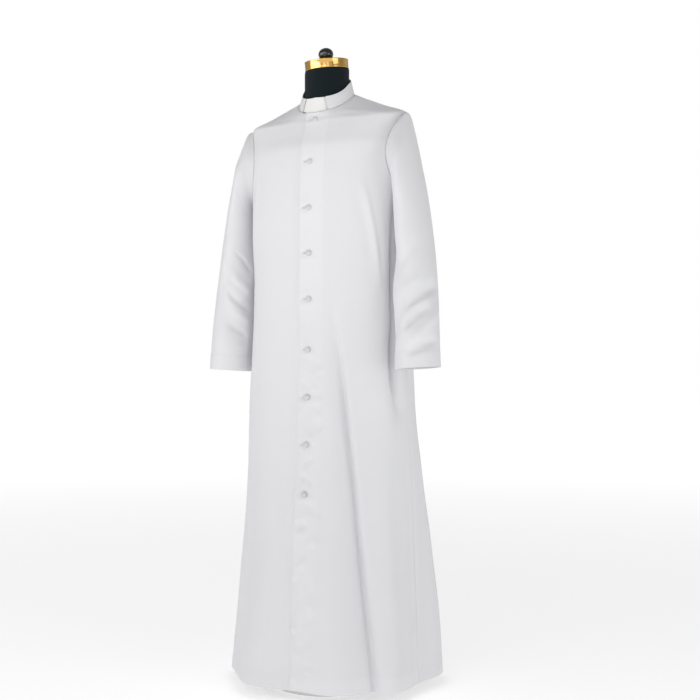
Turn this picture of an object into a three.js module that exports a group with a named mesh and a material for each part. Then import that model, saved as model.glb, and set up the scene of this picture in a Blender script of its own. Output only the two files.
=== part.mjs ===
// A white clerical cassock with a tab collar, worn on a limbless dress form.
// Millimetres, +Z up. The origin is the middle of the base plate's underside on the floor.
// The front faces -Y, and +X is the wearer's left.

import * as THREE from 'three';
import * as BufferGeometryUtils from 'three/addons/utils/BufferGeometryUtils.js';

// Driving dimensions

const CLOTH = 2.0; // thickness of every cloth wall
const SEAM = 0.3; // clear width between two sewn pieces
const HEM_Z = 24; // height of the hem above the floor
const ARMPIT_Z = 1190; // bottom of the armhole
const SHOULDER_Z = 1381; // tip of the shoulder seam
const NECK_Z = 1438; // side of the neckline
const ARMHOLE_SPREAD = { front: 33, back: 26 }; // the armhole's reach from the side, in degrees round the body
const SWAY = 4; // the shoulders stand this far to the wearer's left of the neck

const LAP = 25; // the left front's edge past the centre line
const LAP_AT_HEM = 16; // the same at the hem, where the skirt swings to the wearer's left
const LAP_SWING_Z = 500; // the edge swings below this height
const UNDERLAP = 30; // the right front's edge past the centre line, under the left front
const DIP_START = 22; // the right front begins to dip this far before the left front's edge
const DIP_END = 3; // and lies fully under it this far before the edge

const COLLAR_LEAN = { front: 4, side: 9, back: 3 }; // how far the collar's top lies inside its foot
const COLLAR_END = { foot: 32, top: 25 }; // half of the opening for the tab, in degrees
const COLLAR_TURN = -3; // the collar sits turned a little to the wearer's right
const TAB_END = 43; // half of the tab, in degrees, its ends inside the collar

const BUTTON_RADIUS = 6.5;
const BUTTON_HEIGHT = 5.5;
const BUTTON_HEIGHTS = [1378, 1266, 1155, 1047, 937, 816, 703, 591, 474];

const NECK_RADIUS = 55;
const NECK_TOP_Z = 1511;
const NECK_LEAN = 0.17; // radians, the neck's top is turned forward
const NECK_FOOT_LIFT = 6; // the neck is upright from this height over the neckline
const RING_RADIUS = 54;
const RING_HEIGHT = 22;
const KNOB_RADIUS = 18.5;
const KNOB_HEIGHT = 31;
const TORSO_FOOT_Z = 720;
const POLE_RADIUS = 14;
const BASE_RADIUS = 140;
const BASE_HEIGHT = 12;
const HUB_RADIUS = 30;
const HUB_HEIGHT = 22;

// The body of the garment, ring by ring from the hem to the neckline.
// z is the height at the sides; wide, front and back are the ring's reach from the middle;
// sway moves it to the wearer's left; frontRise and backRise lift its front and back;
// square is 2 for an ellipse and more for a squarer ring.
const BODY_RINGS = [
  { z: HEM_Z, wide: 245, front: 197, back: 250, sway: 7, frontRise: 0, backRise: 0, square: 2.1 },
  { z: 200, wide: 233, front: 180, back: 232, sway: 11, frontRise: 0, backRise: 0, square: 2.15 },
  { z: 365, wide: 222, front: 157, back: 212, sway: 11, frontRise: 0, backRise: 0, square: 2.2 },
  { z: 520, wide: 215, front: 137, back: 192, sway: 10, frontRise: 0, backRise: 0, square: 2.25 },
  { z: 640, wide: 212, front: 124, back: 177, sway: 6, frontRise: 0, backRise: 0, square: 2.3 },
  { z: 760, wide: 208, front: 115, back: 163, sway: 5, frontRise: 0, backRise: 0, square: 2.35 },
  { z: 900, wide: 201, front: 109, back: 149, sway: 4, frontRise: 0, backRise: 0, square: 2.4 },
  { z: 1050, wide: 197, front: 107, back: 140, sway: 4, frontRise: 0, backRise: 0, square: 2.5 },
  { z: 1140, wide: 196, front: 107, back: 136, sway: 4, frontRise: 0, backRise: 0, square: 2.6 },
  { z: ARMPIT_Z, wide: 197, front: 106, back: 133, sway: SWAY, frontRise: 0, backRise: 0, square: 2.6 },
  { z: 1300, wide: 199, front: 97, back: 124, sway: SWAY, frontRise: -2, backRise: 2, square: 2.6 },
  { z: 1345, wide: 202, front: 84, back: 113, sway: SWAY, frontRise: -7, backRise: 7, square: 2.5 },
  { z: SHOULDER_Z, wide: 205, front: 74, back: 100, sway: SWAY, frontRise: -15, backRise: 15, square: 2.4 },
  { z: 1410, wide: 140, front: 69, back: 84, sway: 2, frontRise: -31, backRise: 22, square: 2.2 },
  { z: NECK_Z, wide: 69, front: 67, back: 63, sway: 0, frontRise: -47, backRise: 28, square: 2 },
];

// The collar's height round the neck, in degrees from its front to its back.
const COLLAR_HEIGHTS = [
  { angle: 0, height: 38 },
  { angle: 64, height: 31 },
  { angle: 90, height: 32 },
  { angle: 116, height: 34 },
  { angle: 180, height: 38 },
];

// Folds of the body. Each runs from its head at angle headTurn down to its tail at tailTurn,
// in degrees from the front round by the wearer's left. depth is below 0 for a valley.
// A fold whose tail is at the hem is deepest there, and any other fades out at both ends.
const BODY_FOLDS = [
  { name: 'front valley', head: 980, tail: HEM_Z, headTurn: 15, tailTurn: 45, depth: -14, spread: 8 },
  { name: 'front centre ridge', head: 620, tail: HEM_Z, headTurn: 15, tailTurn: 21, depth: 6, spread: 8 },
  { name: 'button line hollow', head: 440, tail: HEM_Z, headTurn: 2, tailTurn: 2, depth: -16, spread: 9 },
  { name: 'right front ridge', head: 560, tail: HEM_Z, headTurn: -16, tailTurn: -24, depth: 17, spread: 11 },
  { name: 'right front valley', head: 700, tail: HEM_Z, headTurn: -44, tailTurn: -50, depth: -5, spread: 9 },
  { name: 'left side ridge', head: 820, tail: HEM_Z, headTurn: 54, tailTurn: 60, depth: 8, spread: 7 },
  { name: 'left pleat', head: 800, tail: HEM_Z, headTurn: 76, tailTurn: 84, depth: -14, spread: 10 },
  { name: 'left pleat mouth', head: 900, tail: 610, headTurn: 66, tailTurn: 72, depth: -22, spread: 6 },
  { name: 'left back ridge', head: 780, tail: HEM_Z, headTurn: 106, tailTurn: 116, depth: 31, spread: 11 },
  { name: 'left back valley', head: 860, tail: HEM_Z, headTurn: 134, tailTurn: 138, depth: -11, spread: 8 },
  { name: 'left seat ridge', head: 930, tail: HEM_Z, headTurn: 160, tailTurn: 158, depth: 11, spread: 8 },
  { name: 'mid back valley', head: 1000, tail: HEM_Z, headTurn: 181, tailTurn: 179, depth: -13, spread: 8 },
  { name: 'right seat ridge', head: 880, tail: HEM_Z, headTurn: 202, tailTurn: 200, depth: 12, spread: 8 },
  { name: 'right back valley', head: 920, tail: HEM_Z, headTurn: 228, tailTurn: 221, depth: -11, spread: 8 },
  { name: 'right back ridge', head: 760, tail: HEM_Z, headTurn: 252, tailTurn: 244, depth: 20, spread: 10 },
  { name: 'right side valley', head: 780, tail: HEM_Z, headTurn: 268, tailTurn: 264, depth: -9, spread: 8 },
  { name: 'right side ridge', head: 640, tail: HEM_Z, headTurn: 288, tailTurn: 286, depth: 7, spread: 9 },
  { name: 'left chest drag', head: 1290, tail: 930, headTurn: 50, tailTurn: 62, depth: 4, spread: 7 },
  { name: 'left arm recess', head: 1270, tail: 640, headTurn: 74, tailTurn: 76, depth: -20, spread: 8 },
  { name: 'right arm recess', head: 1240, tail: 660, headTurn: 288, tailTurn: 286, depth: -9, spread: 8 },
  { name: 'right chest drag', head: 1270, tail: 960, headTurn: 310, tailTurn: 301, depth: 3, spread: 7 },
];

// Heights of the cloth's rows below the armhole.
const SKIRT_ROWS = [
  HEM_Z, 85, 150, 215, 285, 355, 425, 495, 565, 630, 690, 745, 800, 860, 925, 990, 1050, 1100, 1148,
];
const ARMHOLE_STEPS = 10; // rows from the armpit to the shoulder
const YOKE_ROWS = [1384, 1388, 1393, 1400, 1409, 1418, 1428, NECK_Z];
const LAP_COLUMNS = 3;
const FRONT_COLUMNS = 14;
const BACK_COLUMNS = 30;

// Sleeves, ring by ring from the armhole to the cuff. Each ring is an ellipse through an outer
// and an inner point of the sleeve, deep is its half depth from front to back, forward is how far
// the sleeve's middle comes forward, and bend says how much of the forearm's swing it has.
const SLEEVE_RINGS = [
  { outerX: 205, outerZ: SHOULDER_Z, innerX: 197, innerZ: ARMPIT_Z, deep: 66, forward: 0, bend: 0 },
  { outerX: 217, outerZ: 1377, innerX: 202.5, innerZ: 1182, deep: 67, forward: 14, bend: 0.02 },
  { outerX: 226, outerZ: 1350, innerX: 203, innerZ: 1168, deep: 69, forward: 20, bend: 0.04 },
  { outerX: 236, outerZ: 1310, innerX: 203, innerZ: 1150, deep: 69, forward: 24, bend: 0.08 },
  { outerX: 246, outerZ: 1266, innerX: 203, innerZ: 1128, deep: 69, forward: 24, bend: 0.12 },
  { outerX: 259, outerZ: 1208, innerX: 203.5, innerZ: 1100, deep: 68.5, forward: 22, bend: 0.17 },
  { outerX: 272, outerZ: 1142, innerX: 204, innerZ: 1064, deep: 67, forward: 20, bend: 0.24 },
  { outerX: 284, outerZ: 1074, innerX: 204, innerZ: 1020, deep: 65, forward: 18, bend: 0.34 },
  { outerX: 294, outerZ: 1008, innerX: 205, innerZ: 972, deep: 63.5, forward: 16, bend: 0.48 },
  { outerX: 302, outerZ: 943, innerX: 206.5, innerZ: 919, deep: 62, forward: 14, bend: 0.64 },
  { outerX: 308, outerZ: 880, innerX: 208.5, innerZ: 866, deep: 60, forward: 12, bend: 0.8 },
  { outerX: 312, outerZ: 825, innerX: 211, innerZ: 818, deep: 58.5, forward: 10, bend: 0.92 },
  { outerX: 315, outerZ: 774, innerX: 213, innerZ: 767, deep: 57, forward: 8, bend: 1 },
];
// How each arm hangs: the cuff's middle comes forward by swing, and the sleeve's upper part by this
// share of the table's forward lengths.
const LEFT_HANG = { swing: -63, share: 1 };
const RIGHT_HANG = { swing: -26, share: 0.15 };

// Sleeve creases: where along the sleeve (0 armhole, 1 cuff) and where round it in degrees from
// the inner side by the front, how they slant, their depth and their two spreads.
const SLEEVE_CREASES = [
  { along: 0.62, around: 70, slant: 60, depth: -6, lengthways: 0.045, roundways: 38 },
  { along: 0.72, around: 40, slant: 40, depth: 4, lengthways: 0.04, roundways: 34 },
  { along: 0.8, around: 65, slant: -50, depth: -5, lengthways: 0.04, roundways: 36 },
  { along: 0.3, around: 50, slant: 30, depth: -4, lengthways: 0.06, roundways: 40 },
  { along: 0.55, around: 290, slant: -40, depth: -5, lengthways: 0.05, roundways: 40 },
  { along: 0.75, around: 300, slant: 35, depth: -4, lengthways: 0.045, roundways: 34 },
];

// The torso's clearance inside the garment, ring by ring, at its sides, front and back.
const TORSO_RINGS = [
  { z: TORSO_FOOT_Z, side: 62, front: 40, back: 72 },
  { z: 800, side: 46, front: 24, back: 48 },
  { z: 880, side: 40, front: 20, back: 40 },
  { z: 960, side: 48, front: 24, back: 40 },
  { z: 1040, side: 50, front: 26, back: 38 },
  { z: 1120, side: 38, front: 20, back: 28 },
  { z: 1200, side: 20, front: 13, back: 18 },
  { z: 1280, side: 9, front: 10, back: 12 },
  { z: 1345, side: 4, front: 9, back: 9 },
  { z: 1378, side: 3, front: 9, back: 8 },
  { z: 1388, side: 2.9, front: 9, back: 8 },
  { z: 1400, side: 2.8, front: 9, back: 8 },
  { z: 1418, side: 2.8, front: 9, back: 8 },
  { z: NECK_Z, side: 3, front: 7, back: 5 },
];
const TORSO_COLUMNS = 28;

const MATERIALS = {
  cloth: new THREE.MeshStandardMaterial({ color: 0xf1f0f2, roughness: 0.62, metalness: 0 }),
  tab: new THREE.MeshStandardMaterial({ color: 0xf6f5f2, roughness: 0.5, metalness: 0 }),
  button: new THREE.MeshStandardMaterial({ color: 0xe9e8ea, roughness: 0.6, metalness: 0 }),
  form: new THREE.MeshStandardMaterial({ color: 0x15191b, roughness: 0.85, metalness: 0 }),
  gold: new THREE.MeshStandardMaterial({ color: 0xd8a24a, roughness: 0.18, metalness: 1 }),
  gloss: new THREE.MeshStandardMaterial({ color: 0x0c0c0d, roughness: 0.12, metalness: 0 }),
  steel: new THREE.MeshStandardMaterial({ color: 0xe4e4e2, roughness: 0.45, metalness: 0.2 }),
};

// Interpolation

function smoothStep(share) {
  const held = Math.min(Math.max(share, 0), 1);
  return held * held * (3 - 2 * held);
}

// A smooth value of one column at a height, with no overshoot between the rows.
function tableValue(rows, column, key, at) {
  const last = rows.length - 1;
  const held = Math.min(Math.max(at, rows[0][key]), rows[last][key]);
  let row = 0;
  while (row < last - 1 && held > rows[row + 1][key]) row += 1;
  const rise = (index) => (rows[index + 1][column] - rows[index][column])
    / (rows[index + 1][key] - rows[index][key]);
  const slope = (index) => {
    if (index === 0) return rise(0);
    if (index === last) return rise(last - 1);
    const before = rise(index - 1);
    const after = rise(index);
    return before * after <= 0 ? 0 : (2 * before * after) / (before + after);
  };
  const span = rows[row + 1][key] - rows[row][key];
  const share = (held - rows[row][key]) / span;
  const eased = share * share * (3 - 2 * share);
  const leaving = share * (1 - share) * (1 - share);
  const arriving = share * share * (share - 1);
  return rows[row][column] * (1 - eased) + rows[row + 1][column] * eased
    + span * (slope(row) * leaving + slope(row + 1) * arriving);
}

// The body's surface

function bell(distance, spread) {
  return Math.exp(-0.5 * (distance / spread) ** 2);
}

function foldOffset(angle, z) {
  let offset = 0;
  for (const fold of BODY_FOLDS) {
    const down = (fold.head - z) / (fold.head - fold.tail);
    if (down <= 0 || (down >= 1 && fold.tail > HEM_Z)) continue;
    const centre = fold.headTurn + (fold.tailTurn - fold.headTurn) * Math.min(down, 1);
    const turn = ((angle - centre + 540) % 360) - 180;
    const growth = fold.tail > HEM_Z ? Math.sin(Math.PI * down) ** 2 : smoothStep(down * 1.05);
    offset += fold.depth * growth * bell(turn, fold.spread);
  }
  return offset;
}

function ringPoint(angle, z) {
  const turn = THREE.MathUtils.degToRad(angle);
  const sine = Math.sin(turn);
  const cosine = Math.cos(turn);
  const column = (name) => tableValue(BODY_RINGS, name, 'z', z);
  const square = column('square');
  const reach = (Math.abs(sine) ** square + Math.abs(cosine) ** square) ** (-1 / square);
  const deep = cosine > 0 ? column('front') : column('back');
  const lift = (cosine > 0 ? column('frontRise') : column('backRise')) * Math.abs(cosine);
  return new THREE.Vector3(
    column('sway') + column('wide') * reach * sine,
    -deep * reach * cosine,
    z + lift,
  );
}

function ringNormal(angle, z) {
  const stepAngle = 1;
  const stepZ = 2;
  const low = Math.max(z - stepZ, HEM_Z);
  const high = Math.min(z + stepZ, NECK_Z);
  const round = ringPoint(angle + stepAngle, z).sub(ringPoint(angle - stepAngle, z));
  const up = ringPoint(angle, high).sub(ringPoint(angle, low));
  return round.cross(up).normalize();
}

function bodyPoint(angle, z, inward = 0) {
  const fold = foldOffset(angle, z);
  return ringPoint(angle, z).addScaledVector(ringNormal(angle, z), fold - inward);
}

// The slope of a wall's outer side, from points close round it, folds included.
function bodyNormal(angle, z, inward = 0) {
  const stepAngle = 1;
  const stepZ = 4;
  const low = Math.max(z - stepZ, HEM_Z);
  const high = Math.min(z + stepZ, NECK_Z);
  const round = bodyPoint(angle + stepAngle, z, inward).sub(bodyPoint(angle - stepAngle, z, inward));
  const up = bodyPoint(angle, high, inward).sub(bodyPoint(angle, low, inward));
  return round.cross(up).normalize();
}

// Degrees round the body for a length across the front at a height.
function frontDegrees(length, z) {
  return THREE.MathUtils.radToDeg(length / tableValue(BODY_RINGS, 'wide', 'z', z));
}

// Solids

// A closed solid from a list of faces, its shared corners joined and its flat slivers left out.
function closedSolid(geometry) {
  geometry.deleteAttribute('normal');
  geometry.deleteAttribute('uv');
  const merged = BufferGeometryUtils.mergeVertices(geometry, 1e-3);
  const index = merged.getIndex();
  const kept = [];
  for (let face = 0; face < index.count; face += 3) {
    const [a, b, c] = [index.getX(face), index.getX(face + 1), index.getX(face + 2)];
    if (a !== b && b !== c && c !== a) kept.push(a, b, c);
  }
  merged.setIndex(kept);
  merged.computeVertexNormals();
  return merged;
}

function solidFromFaces(points, faces) {
  const geometry = new THREE.BufferGeometry();
  geometry.setAttribute('position', new THREE.Float32BufferAttribute(points.flatMap((p) => p.toArray()), 3));
  geometry.setIndex(faces.flat());
  geometry.computeVertexNormals();
  return geometry;
}

function pushQuad(faces, a, b, c, d) {
  faces.push([a, b, c], [a, c, d]);
}

// A wall from rows of outer points and the inner points under them. The rows run round from left
// to right and upwards, seen from outside; around joins each row's last point to its first.
function wall(outer, inner, around = false) {
  const rows = outer.length;
  const columns = outer[0].length;
  const points = [...outer.flat(), ...inner.flat()];
  const out = (row, column) => row * columns + (column % columns);
  const into = (row, column) => rows * columns + out(row, column);
  const faces = [];
  const spans = around ? columns : columns - 1;
  for (let row = 0; row < rows - 1; row += 1) {
    for (let c = 0; c < spans; c += 1) {
      pushQuad(faces, out(row, c), out(row, c + 1), out(row + 1, c + 1), out(row + 1, c));
      pushQuad(faces, into(row, c), into(row + 1, c), into(row + 1, c + 1), into(row, c + 1));
    }
    if (!around) {
      const end = columns - 1;
      pushQuad(faces, out(row, 0), out(row + 1, 0), into(row + 1, 0), into(row, 0));
      pushQuad(faces, out(row, end), into(row, end), into(row + 1, end), out(row + 1, end));
    }
  }
  const top = rows - 1;
  for (let c = 0; c < spans; c += 1) {
    pushQuad(faces, out(0, c), into(0, c), into(0, c + 1), out(0, c + 1));
    pushQuad(faces, out(top, c), out(top, c + 1), into(top, c + 1), into(top, c));
  }
  return solidFromFaces(points, faces);
}

// A closed solid from stacked loops, from the lowest to the highest, with a middle point at each end.
function stack(loops) {
  const columns = loops[0].length;
  const middle = (loop) => loop.reduce((sum, p) => sum.add(p), new THREE.Vector3()).divideScalar(columns);
  const points = [...loops.flat(), middle(loops[0]), middle(loops[loops.length - 1])];
  const at = (row, column) => row * columns + (column % columns);
  const bottom = loops.length * columns;
  const faces = [];
  for (let c = 0; c < columns; c += 1) {
    for (let row = 0; row < loops.length - 1; row += 1) {
      pushQuad(faces, at(row, c), at(row, c + 1), at(row + 1, c + 1), at(row + 1, c));
    }
    faces.push([bottom, at(0, c + 1), at(0, c)]);
    faces.push([bottom + 1, at(loops.length - 1, c), at(loops.length - 1, c + 1)]);
  }
  return solidFromFaces(points, faces);
}

function turned(profile, segments) {
  const lathe = new THREE.LatheGeometry(profile.map(([x, y]) => new THREE.Vector2(x, y)), segments);
  lathe.rotateX(Math.PI / 2);
  return closedSolid(lathe);
}

function named(name, geometry, material) {
  const mesh = new THREE.Mesh(geometry, material);
  mesh.name = name;
  return mesh;
}

// The body panels

// Rows of the cloth: height, and how much of its full reach the armhole has there.
function clothRows() {
  const rows = SKIRT_ROWS.map((z) => ({ z, open: 0 }));
  const middle = (ARMPIT_Z + SHOULDER_Z) / 2;
  const half = (SHOULDER_Z - ARMPIT_Z) / 2;
  for (let step = 0; step <= ARMHOLE_STEPS; step += 1) {
    const turn = (Math.PI * step) / ARMHOLE_STEPS;
    rows.push({ z: middle - half * Math.cos(turn), open: Math.sin(turn) });
  }
  return [...rows, ...YOKE_ROWS.map((z) => ({ z, open: 0 }))];
}

// A panel from the angles of its points in a row of the cloth, in degrees, lying inward by a
// length that may change from point to point.
function panel(anglesOf, inward = () => 0) {
  const outer = [];
  const inner = [];
  for (const row of clothRows()) {
    const outerRow = [];
    const innerRow = [];
    for (const angle of anglesOf(row)) {
      const depth = inward(angle, row.z);
      const point = bodyPoint(angle, row.z, depth);
      outerRow.push(point);
      innerRow.push(point.clone().addScaledVector(bodyNormal(angle, row.z), -CLOTH));
    }
    outer.push(outerRow);
    inner.push(innerRow);
  }
  return wall(outer, inner);
}

// Angles evenly spread from one to another, both ends included.
function spread(from, to, columns) {
  return Array.from({ length: columns + 1 }, (_, column) => from + ((to - from) * column) / columns);
}

function lapAngle(z) {
  const swing = smoothStep((LAP_SWING_Z - z) / (LAP_SWING_Z - HEM_Z));
  return frontDegrees(LAP + (LAP_AT_HEM - LAP) * swing, z);
}

function seamDegrees(z) {
  const deep = Math.max(tableValue(BODY_RINGS, 'front', 'z', z), NECK_RADIUS);
  return THREE.MathUtils.radToDeg(SEAM / 2 / deep);
}

// Where a front ends and the back starts beside the side seam or the armhole, in degrees.
function frontEnd(row) {
  return 90 - ARMHOLE_SPREAD.front * row.open - seamDegrees(row.z);
}

function backStart(row) {
  return 90 + ARMHOLE_SPREAD.back * row.open + seamDegrees(row.z);
}

function frontLeft() {
  return panel((row) => [
    ...spread(-lapAngle(row.z), frontDegrees(UNDERLAP, row.z), LAP_COLUMNS),
    ...spread(frontDegrees(UNDERLAP, row.z), frontEnd(row), FRONT_COLUMNS).slice(1),
  ]);
}

// The right front dips under the left front by its thickness and the seam's clear width.
function frontRight() {
  const dipStart = (z) => -lapAngle(z) - frontDegrees(DIP_START, z);
  const dipEnd = (z) => -lapAngle(z) - frontDegrees(DIP_END, z);
  const dip = (angle, z) => (CLOTH + SEAM)
    * smoothStep((angle - dipStart(z)) / (dipEnd(z) - dipStart(z)));
  return panel((row) => [
    ...spread(-frontEnd(row), dipStart(row.z), FRONT_COLUMNS),
    dipEnd(row.z),
    ...spread(-lapAngle(row.z), frontDegrees(UNDERLAP, row.z), LAP_COLUMNS),
  ], dip);
}

function back() {
  return panel((row) => spread(
    backStart(row),
    360 - backStart(row),
    BACK_COLUMNS,
  ));
}

// Sleeves

// The loop of the armhole on the wearer's left, from the armpit up the front and down the back.
function armholeLoop(side) {
  const rows = clothRows().slice(SKIRT_ROWS.length, SKIRT_ROWS.length + ARMHOLE_STEPS + 1);
  const front = rows.map((row) => bodyPoint(side * (90 - ARMHOLE_SPREAD.front * row.open), row.z));
  const rear = rows.map((row) => bodyPoint(side * (90 + ARMHOLE_SPREAD.back * row.open), row.z));
  return [...front, ...rear.slice(1, -1).reverse()];
}

function creaseOffset(along, around) {
  let offset = 0;
  for (const crease of SLEEVE_CREASES) {
    const turn = ((around - crease.around + 540) % 360) - 180;
    const line = along - crease.along - turn / crease.slant / 10;
    offset += crease.depth * bell(line, crease.lengthways) * bell(turn, crease.roundways);
  }
  return offset;
}

function sleeveGrid(side, hang) {
  const loop = armholeLoop(side);
  const count = loop.length;
  const ringAt = (ring, turn) => {
    const outerShare = (1 - Math.cos(turn)) / 2;
    const forward = ring.forward * hang.share;
    return new THREE.Vector3(
      SWAY + side * (ring.innerX + (ring.outerX - ring.innerX) * outerShare),
      hang.swing * ring.bend - forward - (ring.deep + 0.6 * forward) * Math.sin(turn),
      ring.innerZ + (ring.outerZ - ring.innerZ) * outerShare,
    );
  };
  const rows = SLEEVE_RINGS.map((ring, index) => {
    const fade = Math.max(1 - index / 3, 0);
    return loop.map((hole, column) => {
      const turn = (2 * Math.PI * column) / count;
      const pull = hole.clone().sub(ringAt(SLEEVE_RINGS[0], turn)).multiplyScalar(fade);
      return ringAt(ring, turn).add(pull);
    });
  });
  const centre = (row) => row.reduce((sum, p) => sum.add(p), new THREE.Vector3()).divideScalar(count);
  return rows.map((row, index) => {
    const middle = centre(row);
    const along = index / (rows.length - 1);
    return row.map((point, column) => {
      const around = (360 * column) / count;
      const outward = point.clone().sub(middle).normalize();
      const moved = point.clone().addScaledVector(outward, creaseOffset(along, around));
      if (index === 0) moved.addScaledVector(new THREE.Vector3(side, 0, -0.6).normalize(), SEAM + 0.1);
      return moved;
    });
  });
}

// Normals of a grid that closes round each row.
function gridNormals(rows) {
  const count = rows[0].length;
  return rows.map((row, r) => row.map((_, c) => {
    const round = row[(c + 1) % count].clone().sub(row[(c + count - 1) % count]);
    const up = rows[Math.min(r + 1, rows.length - 1)][c].clone().sub(rows[Math.max(r - 1, 0)][c]);
    return round.cross(up).normalize();
  }));
}

function sleeve(side, hang) {
  const rows = sleeveGrid(side, hang).reverse();
  const outer = side > 0 ? rows : rows.map((row) => [...row].reverse());
  const normals = gridNormals(outer);
  const inner = outer.map((row, r) => row.map((p, c) => p.clone().addScaledVector(normals[r][c], -CLOTH)));
  return wall(outer, inner, true);
}

// Collar and tab

function collarHeight(angle) {
  const fromFront = Math.abs(((angle + 540) % 360) - 180);
  return tableValue(COLLAR_HEIGHTS, 'height', 'angle', fromFront);
}

// A standing band over the neckline between two angles, lying inward by a length.
function band(fromAngle, toAngle, columns, rows, inward) {
  const outer = [];
  const inner = [];
  for (let row = 0; row <= rows; row += 1) {
    const up = row / rows;
    const outerRow = [];
    const innerRow = [];
    for (let column = 0; column <= columns; column += 1) {
      const share = column / columns;
      const angle = fromAngle(up) * (1 - share) + toAngle(up) * share;
      const foot = ringPoint(angle, NECK_Z);
      const out = new THREE.Vector3(foot.x, foot.y, 0).normalize();
      const lift = SEAM + 0.1 + collarHeight(angle) * up;
      const cosine = Math.cos(THREE.MathUtils.degToRad(angle));
      const end = cosine > 0 ? COLLAR_LEAN.front : COLLAR_LEAN.back;
      const lean = COLLAR_LEAN.side + (end - COLLAR_LEAN.side) * cosine * cosine;
      const point = foot.addScaledVector(out, -lean * up - inward);
      point.z += lift;
      outerRow.push(point);
      innerRow.push(point.clone().addScaledVector(out, -CLOTH));
    }
    outer.push(outerRow);
    inner.push(innerRow);
  }
  return wall(outer, inner);
}

function collar() {
  const end = (up) => COLLAR_END.foot + (COLLAR_END.top - COLLAR_END.foot) * up;
  return band((up) => COLLAR_TURN + end(up), (up) => COLLAR_TURN + 360 - end(up), 30, 3, 0);
}

function collarTab() {
  return band(() => COLLAR_TURN - TAB_END, () => COLLAR_TURN + TAB_END, 10, 3, CLOTH + SEAM + 0.1);
}

// Buttons

function button(z) {
  const profile = [
    [0, 0], [BUTTON_RADIUS * 0.55, 0], [BUTTON_RADIUS, BUTTON_HEIGHT * 0.4],
    [BUTTON_RADIUS * 0.78, BUTTON_HEIGHT * 0.82], [0, BUTTON_HEIGHT],
  ];
  const geometry = turned(profile, 10);
  const row = tableValue(BODY_RINGS, 'frontRise', 'z', z);
  const level = z - row;
  const normal = bodyNormal(0, level);
  const seat = bodyPoint(0, level).addScaledVector(normal, SEAM);
  geometry.applyQuaternion(new THREE.Quaternion().setFromUnitVectors(new THREE.Vector3(0, 0, 1), normal));
  geometry.translate(seat.x, seat.y, seat.z);
  return geometry;
}

// The dress form

function torso() {
  const loops = TORSO_RINGS.map((ring) => {
    const loop = [];
    for (let column = 0; column < TORSO_COLUMNS; column += 1) {
      const angle = (360 * column) / TORSO_COLUMNS;
      const cosine = Math.cos(THREE.MathUtils.degToRad(angle));
      const end = cosine > 0 ? ring.front : ring.back;
      const inward = ring.side + (end - ring.side) * Math.abs(cosine) ** 1.5;
      const point = ringPoint(angle, ring.z).addScaledVector(ringNormal(angle, ring.z), -inward);
      if (ring.z < ARMPIT_Z) point.z = ring.z;
      loop.push(point);
    }
    return loop;
  });
  // The neck rises from just above the neckline, share 0, to its leaning top, share 1.
  const neckLoop = (share) => {
    const loop = [];
    for (let column = 0; column < TORSO_COLUMNS; column += 1) {
      const angle = (360 * column) / TORSO_COLUMNS;
      const turn = THREE.MathUtils.degToRad(angle);
      const y = -NECK_RADIUS * Math.cos(turn);
      const foot = ringPoint(angle, NECK_Z).z + NECK_FOOT_LIFT;
      const top = NECK_TOP_Z + Math.tan(NECK_LEAN) * y;
      loop.push(new THREE.Vector3(NECK_RADIUS * Math.sin(turn), y, foot + (top - foot) * share));
    }
    return loop;
  };
  return stack([...loops, neckLoop(0), neckLoop(0.5), neckLoop(1)]);
}

// Pieces on the neck's top, turned forward with it.
function neckTop() {
  const group = new THREE.Group();
  group.position.set(0, 0, NECK_TOP_Z);
  group.rotation.x = NECK_LEAN;
  const edge = 1.5;
  const ring = turned([
    [0, 0], [RING_RADIUS - edge, 0], [RING_RADIUS, edge], [RING_RADIUS, RING_HEIGHT - edge],
    [RING_RADIUS - edge, RING_HEIGHT], [0, RING_HEIGHT],
  ], 32);
  const ringMesh = named('neck_ring', ring, MATERIALS.gold);
  ringMesh.position.z = SEAM;
  const knobProfile = [[0, 0], [KNOB_RADIUS * 0.5, 0]];
  for (let step = 1; step < 8; step += 1) {
    const turn = Math.PI * (0.16 + (0.84 * step) / 8);
    knobProfile.push([KNOB_RADIUS * Math.sin(turn), (KNOB_HEIGHT * (1 - Math.cos(turn))) / 2]);
  }
  knobProfile.push([0, KNOB_HEIGHT]);
  const knobMesh = named('neck_knob', turned(knobProfile, 18), MATERIALS.gloss);
  knobMesh.position.z = RING_HEIGHT + 2 * SEAM;
  group.add(ringMesh, knobMesh);
  return group;
}

function basePlate() {
  const edge = 3;
  return turned([
    [0, 0], [BASE_RADIUS, 0], [BASE_RADIUS, BASE_HEIGHT - edge], [BASE_RADIUS - edge, BASE_HEIGHT],
    [HUB_RADIUS, BASE_HEIGHT], [HUB_RADIUS - 4, HUB_HEIGHT], [0, HUB_HEIGHT],
  ], 40);
}

function pole() {
  const foot = HUB_HEIGHT + SEAM;
  const head = TORSO_FOOT_Z - SEAM;
  return turned([[0, foot], [POLE_RADIUS, foot], [POLE_RADIUS, head], [0, head]], 20);
}

// The whole part

const part = new THREE.Group();
part.add(named('front_left', frontLeft(), MATERIALS.cloth));
part.add(named('front_right', frontRight(), MATERIALS.cloth));
part.add(named('back', back(), MATERIALS.cloth));
part.add(named('sleeve_left', sleeve(1, LEFT_HANG), MATERIALS.cloth));
part.add(named('sleeve_right', sleeve(-1, RIGHT_HANG), MATERIALS.cloth));
part.add(named('collar', collar(), MATERIALS.cloth));
part.add(named('collar_tab', collarTab(), MATERIALS.tab));
BUTTON_HEIGHTS.forEach((z, index) => {
  part.add(named(`button_${index + 1}`, button(z), MATERIALS.button));
});
part.add(named('form_torso', torso(), MATERIALS.form));
part.add(neckTop());
part.add(named('pole', pole(), MATERIALS.steel));
part.add(named('base_plate', basePlate(), MATERIALS.steel));

export default part;
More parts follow.
